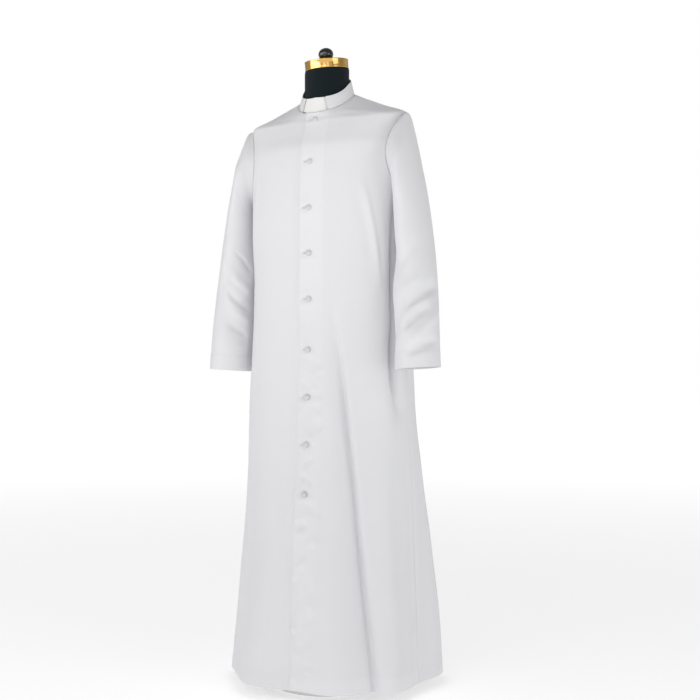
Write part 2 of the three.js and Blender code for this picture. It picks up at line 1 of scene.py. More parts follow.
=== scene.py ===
"""A white clerical cassock with a tab collar, worn on a limbless black dress form.

Tables and sizes are in millimetres and degrees. The front faces -Y and +X is the wearer's left.
"""

import math
from typing import NamedTuple

import bpy
import numpy as np
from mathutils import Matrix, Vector


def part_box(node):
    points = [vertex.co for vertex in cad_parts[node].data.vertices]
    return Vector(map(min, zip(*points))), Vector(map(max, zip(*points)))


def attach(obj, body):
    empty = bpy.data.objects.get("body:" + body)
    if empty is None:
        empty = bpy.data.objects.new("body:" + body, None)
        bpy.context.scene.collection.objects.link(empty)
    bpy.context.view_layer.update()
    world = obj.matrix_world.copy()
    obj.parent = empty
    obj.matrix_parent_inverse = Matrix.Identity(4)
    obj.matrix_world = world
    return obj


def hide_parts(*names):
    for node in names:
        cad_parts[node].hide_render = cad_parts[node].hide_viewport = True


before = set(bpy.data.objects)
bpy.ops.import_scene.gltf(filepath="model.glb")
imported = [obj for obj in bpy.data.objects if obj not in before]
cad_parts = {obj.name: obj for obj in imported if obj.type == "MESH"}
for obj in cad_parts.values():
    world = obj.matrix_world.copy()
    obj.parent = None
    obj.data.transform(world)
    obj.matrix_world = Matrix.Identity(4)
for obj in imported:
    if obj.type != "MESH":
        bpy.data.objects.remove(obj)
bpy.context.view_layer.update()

bl_info = {
    "name": "Clerical cassock",
    "version": (1, 0, 0),
    "blender": (4, 5, 0),
    "location": "View3D > Sidebar > Cassock",
    "description": "Makes a white cassock on a dress form, piece by piece, and its studio",
    "category": "Object",
}

MM = 0.001  # metres in a millimetre
BODY = "root"

# The garment's driving sizes
HEM_Z = 24
ARMPIT_Z = 1190
SHOULDER_Z = 1381
NECK_Z = 1438
ARMHOLE_FRONT = 33  # the armhole's reach from the side to the front, in degrees round the body
ARMHOLE_BACK = 26
SWAY = 4  # how far the shoulders lie to the wearer's left of the pole
SEAM = 0.3  # the clear width between two solids
SEAT = SEAM + 0.1  # how far a sewn-on piece stands off the piece that carries it
CAD_WALL = 2.0  # the solids' wall, within which the cloth lies
LAP = 25  # the left front's edge lies this far past the centre line, less at the hem
LAP_AT_HEM = 16
LAP_SWING_Z = 500  # below this height it comes in
UNDERLAP = 30  # the right front runs this far past the centre line
DIP_START = 22  # outside the lap, the right front dips between these two to pass under it
DIP_END = 3
COVERED_LIFT = 0.8  # how far the covered part presses out towards the left front
BAND_WIDTH = 37  # the button band ends this far past the centre line
HEM_BAND = 36  # the hem and the cuffs are doubled this far
CUFF_BAND = 40
BUTTON_HEIGHTS = (1378, 1266, 1155, 1047, 937, 816, 703, 591, 474)

# The dress form
NECK_RADIUS = 55
NECK_TOP_Z = 1511
NECK_LEAN = 0.17  # radians, forwards
NECK_FOOT_LIFT = 6  # the straight neck starts this far over the neckline
RING_RADIUS = 54
RING_HEIGHT = 22
KNOB_RADIUS = 18.5
KNOB_HEIGHT = 31
TORSO_FOOT_Z = 720
POLE_RADIUS = 14
STAND_COLOUR = (0.78, 0.78, 0.77, 1)
LACQUER_COLOUR = (0.006, 0.006, 0.007, 1)
BASE_RADIUS = 140
BASE_HEIGHT = 12
HUB_RADIUS = 30
HUB_HEIGHT = 22

# How finely the cloth is divided
FRONT_ROWS = {"skirt_step": 6.0, "armhole_steps": 34, "yoke_rows": 14}
BACK_ROWS = {"skirt_step": 6.4, "armhole_steps": 30, "yoke_rows": 14}
SLEEVE_ROWS = 190
SLEEVE_COLUMNS = 112
EDGE_COLUMNS = (0.7, 1.6, 3.0, 5.0)  # extra columns this far from a panel's edges

# The photograph's camera, level and turned to the wearer's left
PHOTO_WIDTH = 700  # pixels
VIEW_ANGLE = 26
VIEW_DISTANCE = 2600
VIEW_HEIGHT = 732
FOCAL_PIXELS = 1050
AXIS_COLUMN = 327
HORIZON_ROW = 385
SENSOR = 36

# Colours of the studio
WHITE = (1, 1, 1, 1)
BLACK = (0, 0, 0, 1)


class Ring(NamedTuple):
    """A ring of the body: its height at the sides, its reach each way, and how square it is."""

    z: float
    wide: float
    front: float
    back: float
    sway: float
    front_rise: float
    back_rise: float
    square: float


BODY_RINGS = (
    Ring(HEM_Z, 245, 197, 250, 7, 0, 0, 2.1),
    Ring(200, 233, 180, 232, 11, 0, 0, 2.15),
    Ring(365, 222, 157, 212, 11, 0, 0, 2.2),
    Ring(520, 215, 137, 192, 10, 0, 0, 2.25),
    Ring(640, 212, 124, 177, 6, 0, 0, 2.3),
    Ring(760, 208, 115, 163, 5, 0, 0, 2.35),
    Ring(900, 201, 109, 149, 4, 0, 0, 2.4),
    Ring(1050, 197, 107, 140, 4, 0, 0, 2.5),
    Ring(1140, 196, 107, 136, 4, 0, 0, 2.6),
    Ring(ARMPIT_Z, 197, 106, 133, SWAY, 0, 0, 2.6),
    Ring(1300, 199, 97, 124, SWAY, -2, 2, 2.6),
    Ring(1345, 202, 84, 113, SWAY, -7, 7, 2.5),
    Ring(SHOULDER_Z, 205, 74, 100, SWAY, -15, 15, 2.4),
    Ring(1410, 140, 69, 84, 2, -31, 22, 2.2),
    Ring(NECK_Z, 69, 67, 63, 0, -47, 28, 2),
)


class Fold(NamedTuple):
    """A large fold, from its head to its tail, each a height and an angle from the front."""

    head: float
    tail: float
    head_angle: float
    tail_angle: float
    depth: float
    spread: float


BODY_FOLDS = (
    Fold(980, HEM_Z, 15, 45, -14, 8),
    Fold(620, HEM_Z, 15, 21, 6, 8),
    Fold(440, HEM_Z, 2, 2, -16, 9),
    Fold(560, HEM_Z, -16, -24, 17, 11),
    Fold(700, HEM_Z, -44, -50, -5, 9),
    Fold(820, HEM_Z, 54, 60, 8, 7),
    Fold(800, HEM_Z, 76, 84, -14, 10),
    Fold(900, 610, 66, 72, -22, 6),
    Fold(780, HEM_Z, 106, 116, 31, 11),
    Fold(860, HEM_Z, 134, 138, -11, 8),
    Fold(930, HEM_Z, 160, 158, 11, 8),
    Fold(1000, HEM_Z, 181, 179, -13, 8),
    Fold(880, HEM_Z, 202, 200, 12, 8),
    Fold(920, HEM_Z, 228, 221, -11, 8),
    Fold(760, HEM_Z, 252, 244, 20, 10),
    Fold(780, HEM_Z, 268, 264, -9, 8),
    Fold(640, HEM_Z, 288, 286, 7, 9),
    Fold(1290, 930, 50, 62, 4, 7),
    Fold(1270, 640, 74, 76, -20, 8),
    Fold(1240, 660, 288, 286, -9, 8),
    Fold(1270, 960, 310, 301, 3, 7),
)


class Crease(NamedTuple):
    """A soft trough (depth below 0) or ridge, between two places given by angle and run.

    width is its reach to either side, lean makes its two sides unlike, bow bends it, and tail is
    the share of its length over which it fades out, 0 for one that runs off the edge.
    """

    from_angle: float
    from_run: float
    to_angle: float
    to_run: float
    depth: float
    width: float
    lean: float = 0
    bow: float = 0
    tail: float = 0.4


FRONT_CREASES = (
    Crease(15.5, 980, 48, HEM_Z, -15.0, 10, 0.3, 4, 0),
    Crease(16.2, 960, 48.6, HEM_Z, -8.0, 5, 0, 4, 0),
    Crease(21, 920, 55, HEM_Z, 3.4, 13, 0, 4, 0),
    Crease(11, 800, 33, HEM_Z, 1.4, 18, 0, 0, 0),
    Crease(36, 1240, 54, 940, 4.6, 7, 0.35, -8),
    Crease(31, 1215, 48, 990, -2.4, 10, 0, -8),
    Crease(58, 1215, 62, 1010, -1.3, 11, 0, 6),
    Crease(60, 1300, 44, 1236, -0.8, 10, 0, 4),
    Crease(73, 1225, 60, 1120, 1.1, 8, 0, 5),
    Crease(80, 1190, 70, 1040, -1.8, 9, 0, 4),
    Crease(79, 1080, 66, 900, 1.5, 12, 0, -5),
    Crease(71, 1170, 72, 680, -19.0, 8, 0, 0, 0.3),
    Crease(66, 900, 74, 640, -5.0, 9, 0.3, 6),
    Crease(76, 860, 72, 560, 2.2, 12, 0, 0),
    Crease(61, 620, 70, HEM_Z, -2.4, 14, 0.2, 0, 0),
    Crease(77, 560, 80, HEM_Z, 2.2, 13, 0, 0, 0),
    Crease(33, 1422, 62, 1398, 1.0, 8, 0, 3),
    Crease(20, 1408, 48, 1368, -0.8, 10, 0, -4),
    Crease(14, 1372, 34, 1310, 0.6, 12, 0, 4),
    Crease(-24, 1412, -52, 1380, -0.8, 10, 0, 4),
    Crease(-38, 1300, -52, 1130, -1.0, 12, 0, -6),
    Crease(-46, 1250, -60, 980, 1.6, 12, 0.3, 6),
    Crease(-72, 1215, -58, 1090, -1.4, 9, 0, -4),
    Crease(-79, 1170, -68, 960, 1.4, 10, 0, 0),
    Crease(-30, 1180, -22, 900, 0.8, 20, 0, 0),
    Crease(-16, 860, -14, 560, -0.8, 12, 0, 3),
    Crease(-14, 640, -17, HEM_Z, -2.6, 12, 0.3, 0, 0),
    Crease(-34, 900, -38, HEM_Z, 2.0, 24, 0, 0, 0),
    Crease(-58, 800, -62, HEM_Z, -3.0, 15, 0, 6, 0),
    Crease(-74, 720, -76, HEM_Z, 2.6, 13, 0, 0, 0),
    Crease(-67, 960, -58, 690, -1.2, 12, 0, 8),
    Crease(6, 420, 12, HEM_Z, 2.0, 12, 0, -3, 0),
    Crease(0, 330, -3, HEM_Z, -1.8, 9, 0, 0, 0),
    Crease(27, 430, 30, HEM_Z, 1.6, 16, 0, 0, 0),
    Crease(3, 880, 22, 838, -0.7, 9, 0, 4),
    Crease(3, 760, 18, 716, 0.7, 8, 0, -3),
    Crease(4, 640, 19, 660, -0.6, 8, 0, 3),
    Crease(-28, 700, -12, 674, -0.7, 9, 0, 3),
    Crease(-30, 560, -12, 586, 0.6, 9, 0, -3),
)

BACK_CREASES = (
    Crease(181, 1040, 179, HEM_Z, -4.0, 12, 0.3, 3, 0),
    Crease(171, 960, 168, HEM_Z, 2.6, 17, 0, 0, 0),
    Crease(190, 940, 191, HEM_Z, 2.2, 16, 0, 0, 0),
    Crease(148, 900, 146, HEM_Z, -3.2, 14, -0.3, 5, 0),
    Crease(212, 880, 211, HEM_Z, -3.4, 14, 0.3, -5, 0),
    Crease(126, 760, 127, HEM_Z, 2.6, 15, 0, 0, 0),
    Crease(236, 800, 233, HEM_Z, 2.8, 15, 0, 0, 0),
    Crease(103, 700, 98, HEM_Z, -3.0, 13, 0, 0, 0),
    Crease(257, 720, 259, HEM_Z, -3.0, 13, 0, 0, 0),
    Crease(156, 1330, 142, 1160, 1.6, 17, 0, -6),
    Crease(204, 1322, 219, 1150, 1.6, 17, 0, 6),
    Crease(133, 1290, 119, 1110, -1.7, 12, 0, 5),
    Crease(228, 1280, 241, 1100, -1.6, 12, 0, -5),
    Crease(109, 1210, 122, 1020, 1.6, 10, 0, 4),
    Crease(251, 1215, 238, 1030, 1.5, 10, 0, -4),
    Crease(100, 1160, 108, 960, -1.7, 9, 0, 3),
    Crease(260, 1150, 251, 940, -1.6, 9, 0, -3),
    Crease(163, 1130, 150, 1000, -1.0, 11, 0, 4),
    Crease(196, 1120, 208, 985, -1.1, 11, 0, -4),
    Crease(140, 1040, 170, 1008, 0.9, 12, 0, 6),
    Crease(222, 1030, 194, 1000, 0.9, 12, 0, -6),
    Crease(168, 1440, 140, 1404, 0.9, 9, 0, 4),
    Crease(192, 1440, 220, 1402, 0.9, 9, 0, -4),
    Crease(115, 900, 119, 640, 1.9, 14, 0, 0),
    Crease(247, 920, 243, 660, 1.8, 14, 0, 0),
    Crease(160, 640, 158, HEM_Z, -1.8, 12, 0, 0, 0),
    Crease(201, 600, 203, HEM_Z, -1.8, 12, 0, 0, 0),
)


class SleeveRing(NamedTuple):
    """An ellipse through an outer and an inner point, deep its half depth from front to back.

    forward is how far its middle comes forward, and bend its share of the forearm's swing.
    """

    row: int
    outer_x: float
    outer_z: float
    inner_x: float
    inner_z: float
    deep: float
    forward: float
    bend: float


SLEEVE_RINGS = (
    SleeveRing(0, 205, SHOULDER_Z, 197, ARMPIT_Z, 66, 0, 0),
    SleeveRing(1, 217, 1377, 202.5, 1182, 67, 14, 0.02),
    SleeveRing(2, 226, 1350, 203, 1168, 69, 20, 0.04),
    SleeveRing(3, 236, 1310, 203, 1150, 69, 24, 0.08),
    SleeveRing(4, 246, 1266, 203, 1128, 69, 24, 0.12),
    SleeveRing(5, 259, 1208, 203.5, 1100, 68.5, 22, 0.17),
    SleeveRing(6, 272, 1142, 204, 1064, 67, 20, 0.24),
    SleeveRing(7, 284, 1074, 204, 1020, 65, 18, 0.34),
    SleeveRing(8, 294, 1008, 205, 972, 63.5, 16, 0.48),
    SleeveRing(9, 302, 943, 206.5, 919, 62, 14, 0.64),
    SleeveRing(10, 308, 880, 208.5, 866, 60, 12, 0.8),
    SleeveRing(11, 312, 825, 211, 818, 58.5, 10, 0.92),
    SleeveRing(12, 315, 774, 213, 767, 57, 8, 1),
)


class Hang(NamedTuple):
    """How an arm hangs: the cuff's middle comes forward by swing, the rest by a share."""

    swing: float
    share: float


LEFT_HANG = Hang(-63, 1)
RIGHT_HANG = Hang(-26, 0.15)
SLEEVE_LENGTH = 620
SLEEVE_MM_PER_DEGREE = 1.05


class SleeveFold(NamedTuple):
    """A large slanting fold of the sleeve, placed by shares of its length and degrees round it."""

    along: float
    around: float
    slant: float
    depth: float
    lengthways: float
    roundways: float


SLEEVE_FOLDS = (
    SleeveFold(0.62, 70, 60, -6, 0.045, 38),
    SleeveFold(0.72, 40, 40, 4, 0.04, 34),
    SleeveFold(0.8, 65, -50, -5, 0.04, 36),
    SleeveFold(0.3, 50, 30, -4, 0.06, 40),
    SleeveFold(0.55, 290, -40, -5, 0.05, 40),
    SleeveFold(0.75, 300, 35, -4, 0.045, 34),
)

# Creases of the sleeves: degrees from the inner side by the front, and millimetres down the sleeve
LEFT_SLEEVE_CREASES = (
    Crease(120, 60, 96, 300, 1.2, 14, 0, 6),
    Crease(60, 30, 84, 230, -1.6, 13, 0, -6),
    Crease(30, 70, 60, 260, 1.6, 10, 0, 4),
    Crease(62, 400, 150, 366, -4.0, 9, 0, 6),
    Crease(70, 452, 140, 420, 3.4, 10, 0, -4),
    Crease(76, 490, 204, 450, -11.0, 8, 0.3, 6),
    Crease(76, 534, 156, 486, -10.0, 7, 0.2, 5),
    Crease(80, 580, 206, 482, 6.5, 10, 0, 6),
    Crease(76, 592, 184, 556, -9.5, 7, 0, 4),
    Crease(330, 420, 250, 350, -2.6, 12, 0, -6),
    Crease(335, 480, 240, 420, -2.8, 12, 0, -6),
    Crease(320, 540, 262, 500, 2.0, 11, 0, 4),
    Crease(210, 60, 226, 330, -1.2, 14, 0, 6),
    Crease(180, 20, 176, 240, 1.0, 16, 0, 0),
)
RIGHT_SLEEVE_CREASES = (
    Crease(116, 50, 100, 280, 1.2, 14, 0, -6),
    Crease(52, 40, 76, 240, -1.5, 13, 0, 6),
    Crease(22, 90, 44, 300, 1.5, 10, 0, 4),
    Crease(4, 372, 74, 330, -5.7, 6, 0, 6),
    Crease(0, 430, 86, 384, 5.1, 8, 0, 6),
    Crease(6, 462, 92, 424, -6.9, 6, 0.3, -6),
    Crease(0, 500, 70, 470, 5.7, 8, 0, 5),
    Crease(8, 530, 84, 505, -6.5, 6, 0, 5),
    Crease(350, 560, 60, 548, 1.8, 8, 0, -4),
    Crease(338, 410, 256, 340, -2.4, 12, 0, -6),
    Crease(330, 470, 246, 410, -2.6, 12, 0, 6),
    Crease(318, 545, 258, 508, 1.8, 11, 0, 4),
    Crease(214, 60, 232, 320, -1.2, 14, 0, -6),
    Crease(184, 20, 182, 240, 1.0, 16, 0, 0),
)


class CollarHeight(NamedTuple):
    """The collar's height at an angle from its front."""

    angle: float
    height: float


COLLAR_HEIGHTS = (
    CollarHeight(0, 38),
    CollarHeight(64, 31),
    CollarHeight(90, 32),
    CollarHeight(116, 34),
    CollarHeight(180, 38),
)
COLLAR_LEAN_FRONT = 4  # how far its top leans inwards
COLLAR_LEAN_SIDE = 9
COLLAR_LEAN_BACK = 3
COLLAR_END_FOOT = 32  # degrees from the front to its ends, at the foot and at the top
COLLAR_END_TOP = 25
COLLAR_TURN = -3  # degrees, towards the wearer's right
COLLAR_LENGTH = 380
COLLAR_MM_PER_DEGREE = 1.15
COLLAR_WALL = 1.9
COLLAR_STITCHING = 4.2  # under the top edge
TAB_END = 43  # degrees from its middle to its ends inside the collar
TAB_LENGTH = 90
TAB_WALL = 1.2
TAB_COLOUR = (0.9, 0.9, 0.885, 1)


class Inset(NamedTuple):
    """How far the torso lies inside the garment at a height, at its sides, front and back."""

    z: float
    side: float
    front: float
    back: float


TORSO_INSETS = (
    Inset(TORSO_FOOT_Z, 62, 40, 72),
    Inset(800, 46, 24, 48),
    Inset(880, 40, 20, 40),
    Inset(960, 48, 24, 40),
    Inset(1040, 50, 26, 38),
    Inset(1120, 38, 20, 28),
    Inset(1200, 20, 13, 18),
    Inset(1280, 9, 10, 12),
    Inset(1345, 4, 9, 9),
    Inset(1378, 3, 9, 8),
    Inset(1388, 2.9, 9, 8),
    Inset(1400, 2.8, 9, 8),
    Inset(1418, 2.8, 9, 8),
    Inset(NECK_Z, 3, 7, 5),
)


class Turning(NamedTuple):
    """A ring of a turned shape: its share of the radius and of the height."""

    radius: float
    height: float


BUTTON_PROFILE = (
    Turning(0.42, -0.05),
    Turning(0.46, 0.12),
    Turning(0.8, 0.2),
    Turning(0.96, 0.3),
    Turning(1.0, 0.42),
    Turning(0.985, 0.54),
    Turning(0.93, 0.66),
    Turning(0.84, 0.77),
    Turning(0.7, 0.87),
    Turning(0.5, 0.95),
    Turning(0.27, 0.99),
    Turning(0.08, 1.0),
)

# The two lips of a buttonhole
LIP_HALF_LENGTH = 9.0
LIP_WIDTH = 1.5
LIP_LIFT = 1.3
LIP_MIDDLE = -9.5  # from the button's middle towards the edge of the lap


class SoftLight(NamedTuple):
    """A rectangular light: its place, what it faces, its size in metres and share of the power."""

    name: str
    place: tuple
    target: tuple
    size: tuple
    share: float


SOFT_LIGHTS = (
    SoftLight("key", (150, -2200, 2350), (0, 0, 950), (1.5, 1.0), 1),
    SoftLight("side", (2300, -700, 1200), (0, 0, 850), (1.2, 1.6), 0.8),
    SoftLight("left_panel", (-1850, -2350, 1400), (0, 0, 1250), (2.6, 0.5), 1.35),
)


class Panel(NamedTuple):
    """A stop of what shiny things mirror, placed by its share of a turn round the room.

    The turn starts at the wearer's right and runs by the front.
    """

    turn: float
    bright: float


STUDIO_PANELS = (
    Panel(0.0, 0.16),
    Panel(0.052, 0.18),
    Panel(0.075, 1.0),
    Panel(0.215, 1.0),
    Panel(0.24, 0.1),
    Panel(0.262, 0.36),
    Panel(0.288, 0.62),
    Panel(0.31, 0.26),
    Panel(0.338, 0.6),
    Panel(0.36, 0.2),
    Panel(0.396, 0.3),
    Panel(0.405, 0.04),
    Panel(0.421, 0.04),
    Panel(0.432, 0.24),
    Panel(0.56, 0.12),
    Panel(0.66, 0.22),
    Panel(0.82, 0.1),
    Panel(1.0, 0.16),
)
PANEL_STRENGTH = 2.6
ROOM_STOPS = ((0.05, WHITE), (0.6, (0.5, 0.5, 0.52, 1)))  # from the horizon to overhead
LEVEL_STOPS = ((0.32, WHITE), (0.42, BLACK))  # how far from level the panels are mirrored
FLOOR_RADIUS = 40000


# Curves and sums used by the shapes


def smooth(share):
    """0 below 0, 1 above 1 and an even S between."""
    held = np.clip(share, 0, 1)
    return held * held * (3 - 2 * held)


def bell(distance, spread):
    """1 at no distance, fading to both sides."""
    return np.exp(-0.5 * (distance / spread) ** 2)


def turn_between(angle, centre):
    """The turn from centre to angle, from -180 to 180 degrees."""
    return (angle - centre + 180) % 360 - 180


def table_value(rows, column, key, at):
    """A smooth value of one column, with no overshoot between the rows."""
    keys = np.array([getattr(row, key) for row in rows], float)
    values = np.array([getattr(row, column) for row in rows], float)
    rise = np.diff(values) / np.diff(keys)
    before, after = rise[:-1], rise[1:]
    same_way = before * after > 0
    total = np.where(same_way, before + after, 1)
    slope = np.concatenate(
        [rise[:1], np.where(same_way, 2 * before * after / total, 0), rise[-1:]]
    )
    held = np.clip(at, keys[0], keys[-1])
    row = np.clip(np.searchsorted(keys, held, side="right") - 1, 0, len(keys) - 2)
    span = keys[row + 1] - keys[row]
    share = (held - keys[row]) / span
    eased = share * share * (3 - 2 * share)
    leaving = share * (1 - share) ** 2
    arriving = share * share * (share - 1)
    bend = span * (slope[row] * leaving + slope[row + 1] * arriving)
    return values[row] * (1 - eased) + values[row + 1] * eased + bend


def unit(vectors):
    """The vectors at length 1."""
    return vectors / np.linalg.norm(vectors, axis=-1, keepdims=True)


def soft_noise(across, run, size, seed):
    """Smooth unevenness from -1 to 1 with lumps of a size in millimetres."""
    count = 64
    lattice = np.random.default_rng(seed).uniform(-1, 1, (count, count))
    x, y = across / size + 7.3, run / size + 3.1
    column, row = np.floor(x).astype(int), np.floor(y).astype(int)
    right, up = smooth(x - column), smooth(y - row)

    def corner(dx, dy):
        return lattice[(row + dy) % count, (column + dx) % count]

    low = corner(0, 0) * (1 - right) + corner(1, 0) * right
    high = corner(0, 1) * (1 - right) + corner(1, 1) * right
    return low * (1 - up) + high * up


def crease_sum(angle, run, creases, mm_per_degree):
    """What all the creases add at each place. mm_per_degree is a function of the run."""
    head = 0.35  # the share of its length over which a crease comes in
    total = np.zeros(np.broadcast(angle, run).shape)
    for crease in creases:
        middle = crease.from_angle + turn_between(crease.to_angle, crease.from_angle) / 2
        scale = mm_per_degree((crease.from_run + crease.to_run) / 2)
        half = turn_between(crease.to_angle, crease.from_angle) / 2 * scale
        across = turn_between(angle, middle) * scale
        way = np.array([2 * half, crease.to_run - crease.from_run])
        length = np.hypot(*way)
        way = way / length
        offset_x, offset_y = across + half, run - crease.from_run
        share = (offset_x * way[0] + offset_y * way[1]) / length
        held = np.clip(share, 0, 1)
        aside = offset_x * way[1] - offset_y * way[0] - crease.bow * 4 * held * (1 - held)
        width = crease.width * (1 + crease.lean * np.tanh(aside / crease.width))
        fade = smooth(share / head)
        if crease.tail > 0:
            fade = fade * smooth((1 - share) / crease.tail)
        total += crease.depth * fade * bell(aside, width)
    return total


# The body's surface


def ring_points(angle, z):
    """Points of the plain body at angles round it and heights."""
    turn = np.radians(angle)
    sine, cosine = np.sin(turn), np.cos(turn)

    def column(name):
        return table_value(BODY_RINGS, name, "z", z)

    square = column("square")
    reach = (np.abs(sine) ** square + np.abs(cosine) ** square) ** (-1 / square)
    deep = np.where(cosine > 0, column("front"), column("back"))
    lift = np.where(cosine > 0, column("front_rise"), column("back_rise")) * np.abs(cosine)
    return np.stack(
        [column("sway") + column("wide") * reach * sine, -deep * reach * cosine, z + lift],
        axis=-1,
    )


def ring_normals(angle, z):
    """Outward directions of the plain body."""
    low, high = np.maximum(z - 2, HEM_Z), np.minimum(z + 2, NECK_Z)
    around = ring_points(angle + 1, z) - ring_points(angle - 1, z)
    up = ring_points(angle, high) - ring_points(angle, low)
    return unit(np.cross(around, up))


def fold_sum(angle, z):
    """What the large folds add."""
    total = np.zeros(np.broadcast(angle, z).shape)
    for fold in BODY_FOLDS:
        down = (fold.head - z) / (fold.head - fold.tail)
        held = np.clip(down, 0, 1)
        centre = fold.head_angle + (fold.tail_angle - fold.head_angle) * held
        if fold.tail > HEM_Z:
            growth = np.sin(np.pi * held) ** 2
        else:
            growth = smooth(held * 1.05)
        total += fold.depth * growth * bell(turn_between(angle, centre), fold.spread)
    return total


def body_scale(z):
    """Millimetres in a degree round the body at a height."""
    return table_value(BODY_RINGS, "wide", "z", z) * math.pi / 180


def body_creases(angle, z, creases):
    """Creases and the cloth's own unevenness on the body."""
    across = turn_between(angle, 0) * body_scale(z)
    uneven = 0.5 * soft_noise(across, z, 95, 11) + 0.22 * soft_noise(across, z * 0.6, 34, 12)
    uneven = uneven + 0.07 * soft_noise(across, z, 13, 13)
    lower = 1 + 0.8 * smooth((700 - z) / 500)
    return crease_sum(angle, z, creases, body_scale) + uneven * lower


def cloth_rows(skirt_step, armhole_steps, yoke_rows):
    """Heights of the body's rows, and how much of its full reach the armhole has at each."""
    skirt = np.linspace(HEM_Z, ARMPIT_Z, int((ARMPIT_Z - HEM_Z) / skirt_step) + 1)[:-1]
    skirt = np.insert(skirt, 1, HEM_Z + 0.8)
    turn = np.linspace(0, np.pi, armhole_steps + 1)
    middle, half = (ARMPIT_Z + SHOULDER_Z) / 2, (SHOULDER_Z - ARMPIT_Z) / 2
    armhole = middle - half * np.cos(turn)
    yoke = SHOULDER_Z + (NECK_Z - SHOULDER_Z) * np.linspace(0, 1, yoke_rows + 1)[1:]
    heights = np.concatenate([skirt, armhole, yoke])
    opens = np.concatenate([np.zeros(len(skirt)), np.sin(turn), np.zeros(len(yoke))])
    return heights, opens


def edge_shares(columns, edges, length):
    """Shares from 0 to 1, even but for extra ones close to both ends, at edges in millimetres."""
    close = np.array(edges) / length
    inner = np.linspace(close[-1], 1 - close[-1], columns)
    return np.concatenate([[0], close[:-1], inner, 1 - close[:-1][::-1], [1]])


def front_degrees(length, z):
    """Degrees for a length across the front at a height."""
    return length / body_scale(z)


def lap_angle(z):
    """Where the left front's edge lies, in degrees past the centre line."""
    swing = smooth((LAP_SWING_Z - z) / (LAP_SWING_Z - HEM_Z))
    return front_degrees(LAP + (LAP_AT_HEM - LAP) * swing, z)


def seam_degrees(z):
    """Half of a seam's clear width in degrees."""
    deep = np.maximum(table_value(BODY_RINGS, "front", "z", z), NECK_RADIUS)
    return np.degrees(SEAM / 2 / deep)


def seam_pinch(distance):
    """The cloth rolls in at a seam, and stands a little proud beside it."""
    return -1.1 * np.exp(-distance / 1.6) + 0.35 * bell(distance - 7, 4)


def neck_pinch(z):
    """The cloth dips a little where the collar is sewn on, and stands proud under it."""
    return -0.15 * bell(z - NECK_Z, 0.8) + 0.3 * bell(z - NECK_Z + 4, 2)


def hem_form(run, band):
    """A turned hem: thicker up to its stitching, and drawn in along it."""
    return 0.45 * smooth((band - run) / 3 + 0.5) - 0.7 * bell(run - band, 1.8)


def band_doubling(across, z):
    """Where the left front is doubled by its band and hem, from 0 to 1."""
    upper = 0.3 + 0.7 * smooth((z - 860) / 160)
    band = upper * smooth((BAND_WIDTH - across) / 2.5 + 0.5)
    return np.maximum(band, hem_doubling(z - HEM_Z, HEM_BAND))


def hem_doubling(run, band):
    """Where a turned hem doubles the cloth, from 0 to 1."""
    return 0.8 * smooth((band - run) / 2.5 + 0.5)


def band_form(across, z):
    """The button band of the left front, with lumps between its buttons and down to the hem."""
    upper = smooth((z - 760) / 240)
    step = (0.25 + 0.65 * upper) * smooth((BAND_WIDTH - across) / 9 + 0.5)
    edge_line = -0.3 * upper * bell(across - BAND_WIDTH - 1, 3)
    crown = 0.7 * upper * bell(across - (BAND_WIDTH - LAP) / 2, 20)
    return step + edge_line + crown + band_lumps(across, z) + button_dents(across, z)


def band_lumps(across, z):
    """Uneven swellings and dents where the facing pulls, deeper further down."""
    chance = np.random.default_rng(21)
    total = np.zeros(np.broadcast(across, z).shape)
    height = 1330.0
    while height > HEM_Z + 10:
        place = chance.uniform(-20, 36)
        further_down = 0.2 + smooth((1000 - height) / 420)
        depth = chance.choice([-1, 1]) * chance.uniform(1.2, 2.8) * further_down
        wide, tall = chance.uniform(5, 11), chance.uniform(4, 8)
        slant = chance.uniform(-0.5, 0.5)
        down = z - height + slant * (across - place)
        total += depth * bell(across - place, wide) * bell(down, tall)
        height -= chance.uniform(8, 17)
    return total


def button_dents(across, z):
    """Each button draws the cloth in, and small puckers stand over and under it."""
    total = np.zeros(np.broadcast(across, z).shape)
    for index, height in enumerate(BUTTON_HEIGHTS):
        rise = float(table_value(BODY_RINGS, "front_rise", "z", height))
        down = z - (height - rise)
        pull = 1.3 + 0.2 * index
        total -= pull * bell(across + 2, 10) * bell(down, 6)
        total += pull * 0.9 * bell(across + 5, 11) * bell(down - 12, 4.5)
        total += pull * 0.8 * bell(across + 3, 12) * bell(down + 13, 5)
        total -= pull * 0.6 * bell(across + 17, 9) * bell(down + 1.5, 2.6)
    return total


# Meshes


def new_piece(name, points, faces, material, uvs=None, doubled=None):
    """A mesh object from points in millimetres, and optionally a cloth map in metres.

    doubled is 1 where the cloth lies on a second layer, which makes it whiter.
    """
    mesh = bpy.data.meshes.new(name)
    mesh.from_pydata((np.asarray(points) * MM).tolist(), [], faces)
    mesh.validate()
    mesh.polygons.foreach_set("use_smooth", [True] * len(mesh.polygons))
    if uvs is not None:
        layer = mesh.uv_layers.new(name="cloth_map")
        corners = np.empty(len(mesh.loops), int)
        mesh.loops.foreach_get("vertex_index", corners)
        layer.data.foreach_set("uv", (np.asarray(uvs)[corners] * MM).ravel())
    if doubled is not None:
        mesh.attributes.new("doubled", "FLOAT", "POINT").data.foreach_set("value", doubled)
    mesh.materials.append(material)
    piece = bpy.data.objects.new(name, mesh)
    bpy.context.scene.collection.objects.link(piece)
    return piece


def grid_normals(grid, around):
    """Outward directions of a grid whose rows run round from left to right and upwards."""
    if around:
        across = np.roll(grid, -1, axis=1) - np.roll(grid, 1, axis=1)
    else:
        across = np.gradient(grid, axis=1)
    return unit(np.cross(across, np.gradient(grid, axis=0)))


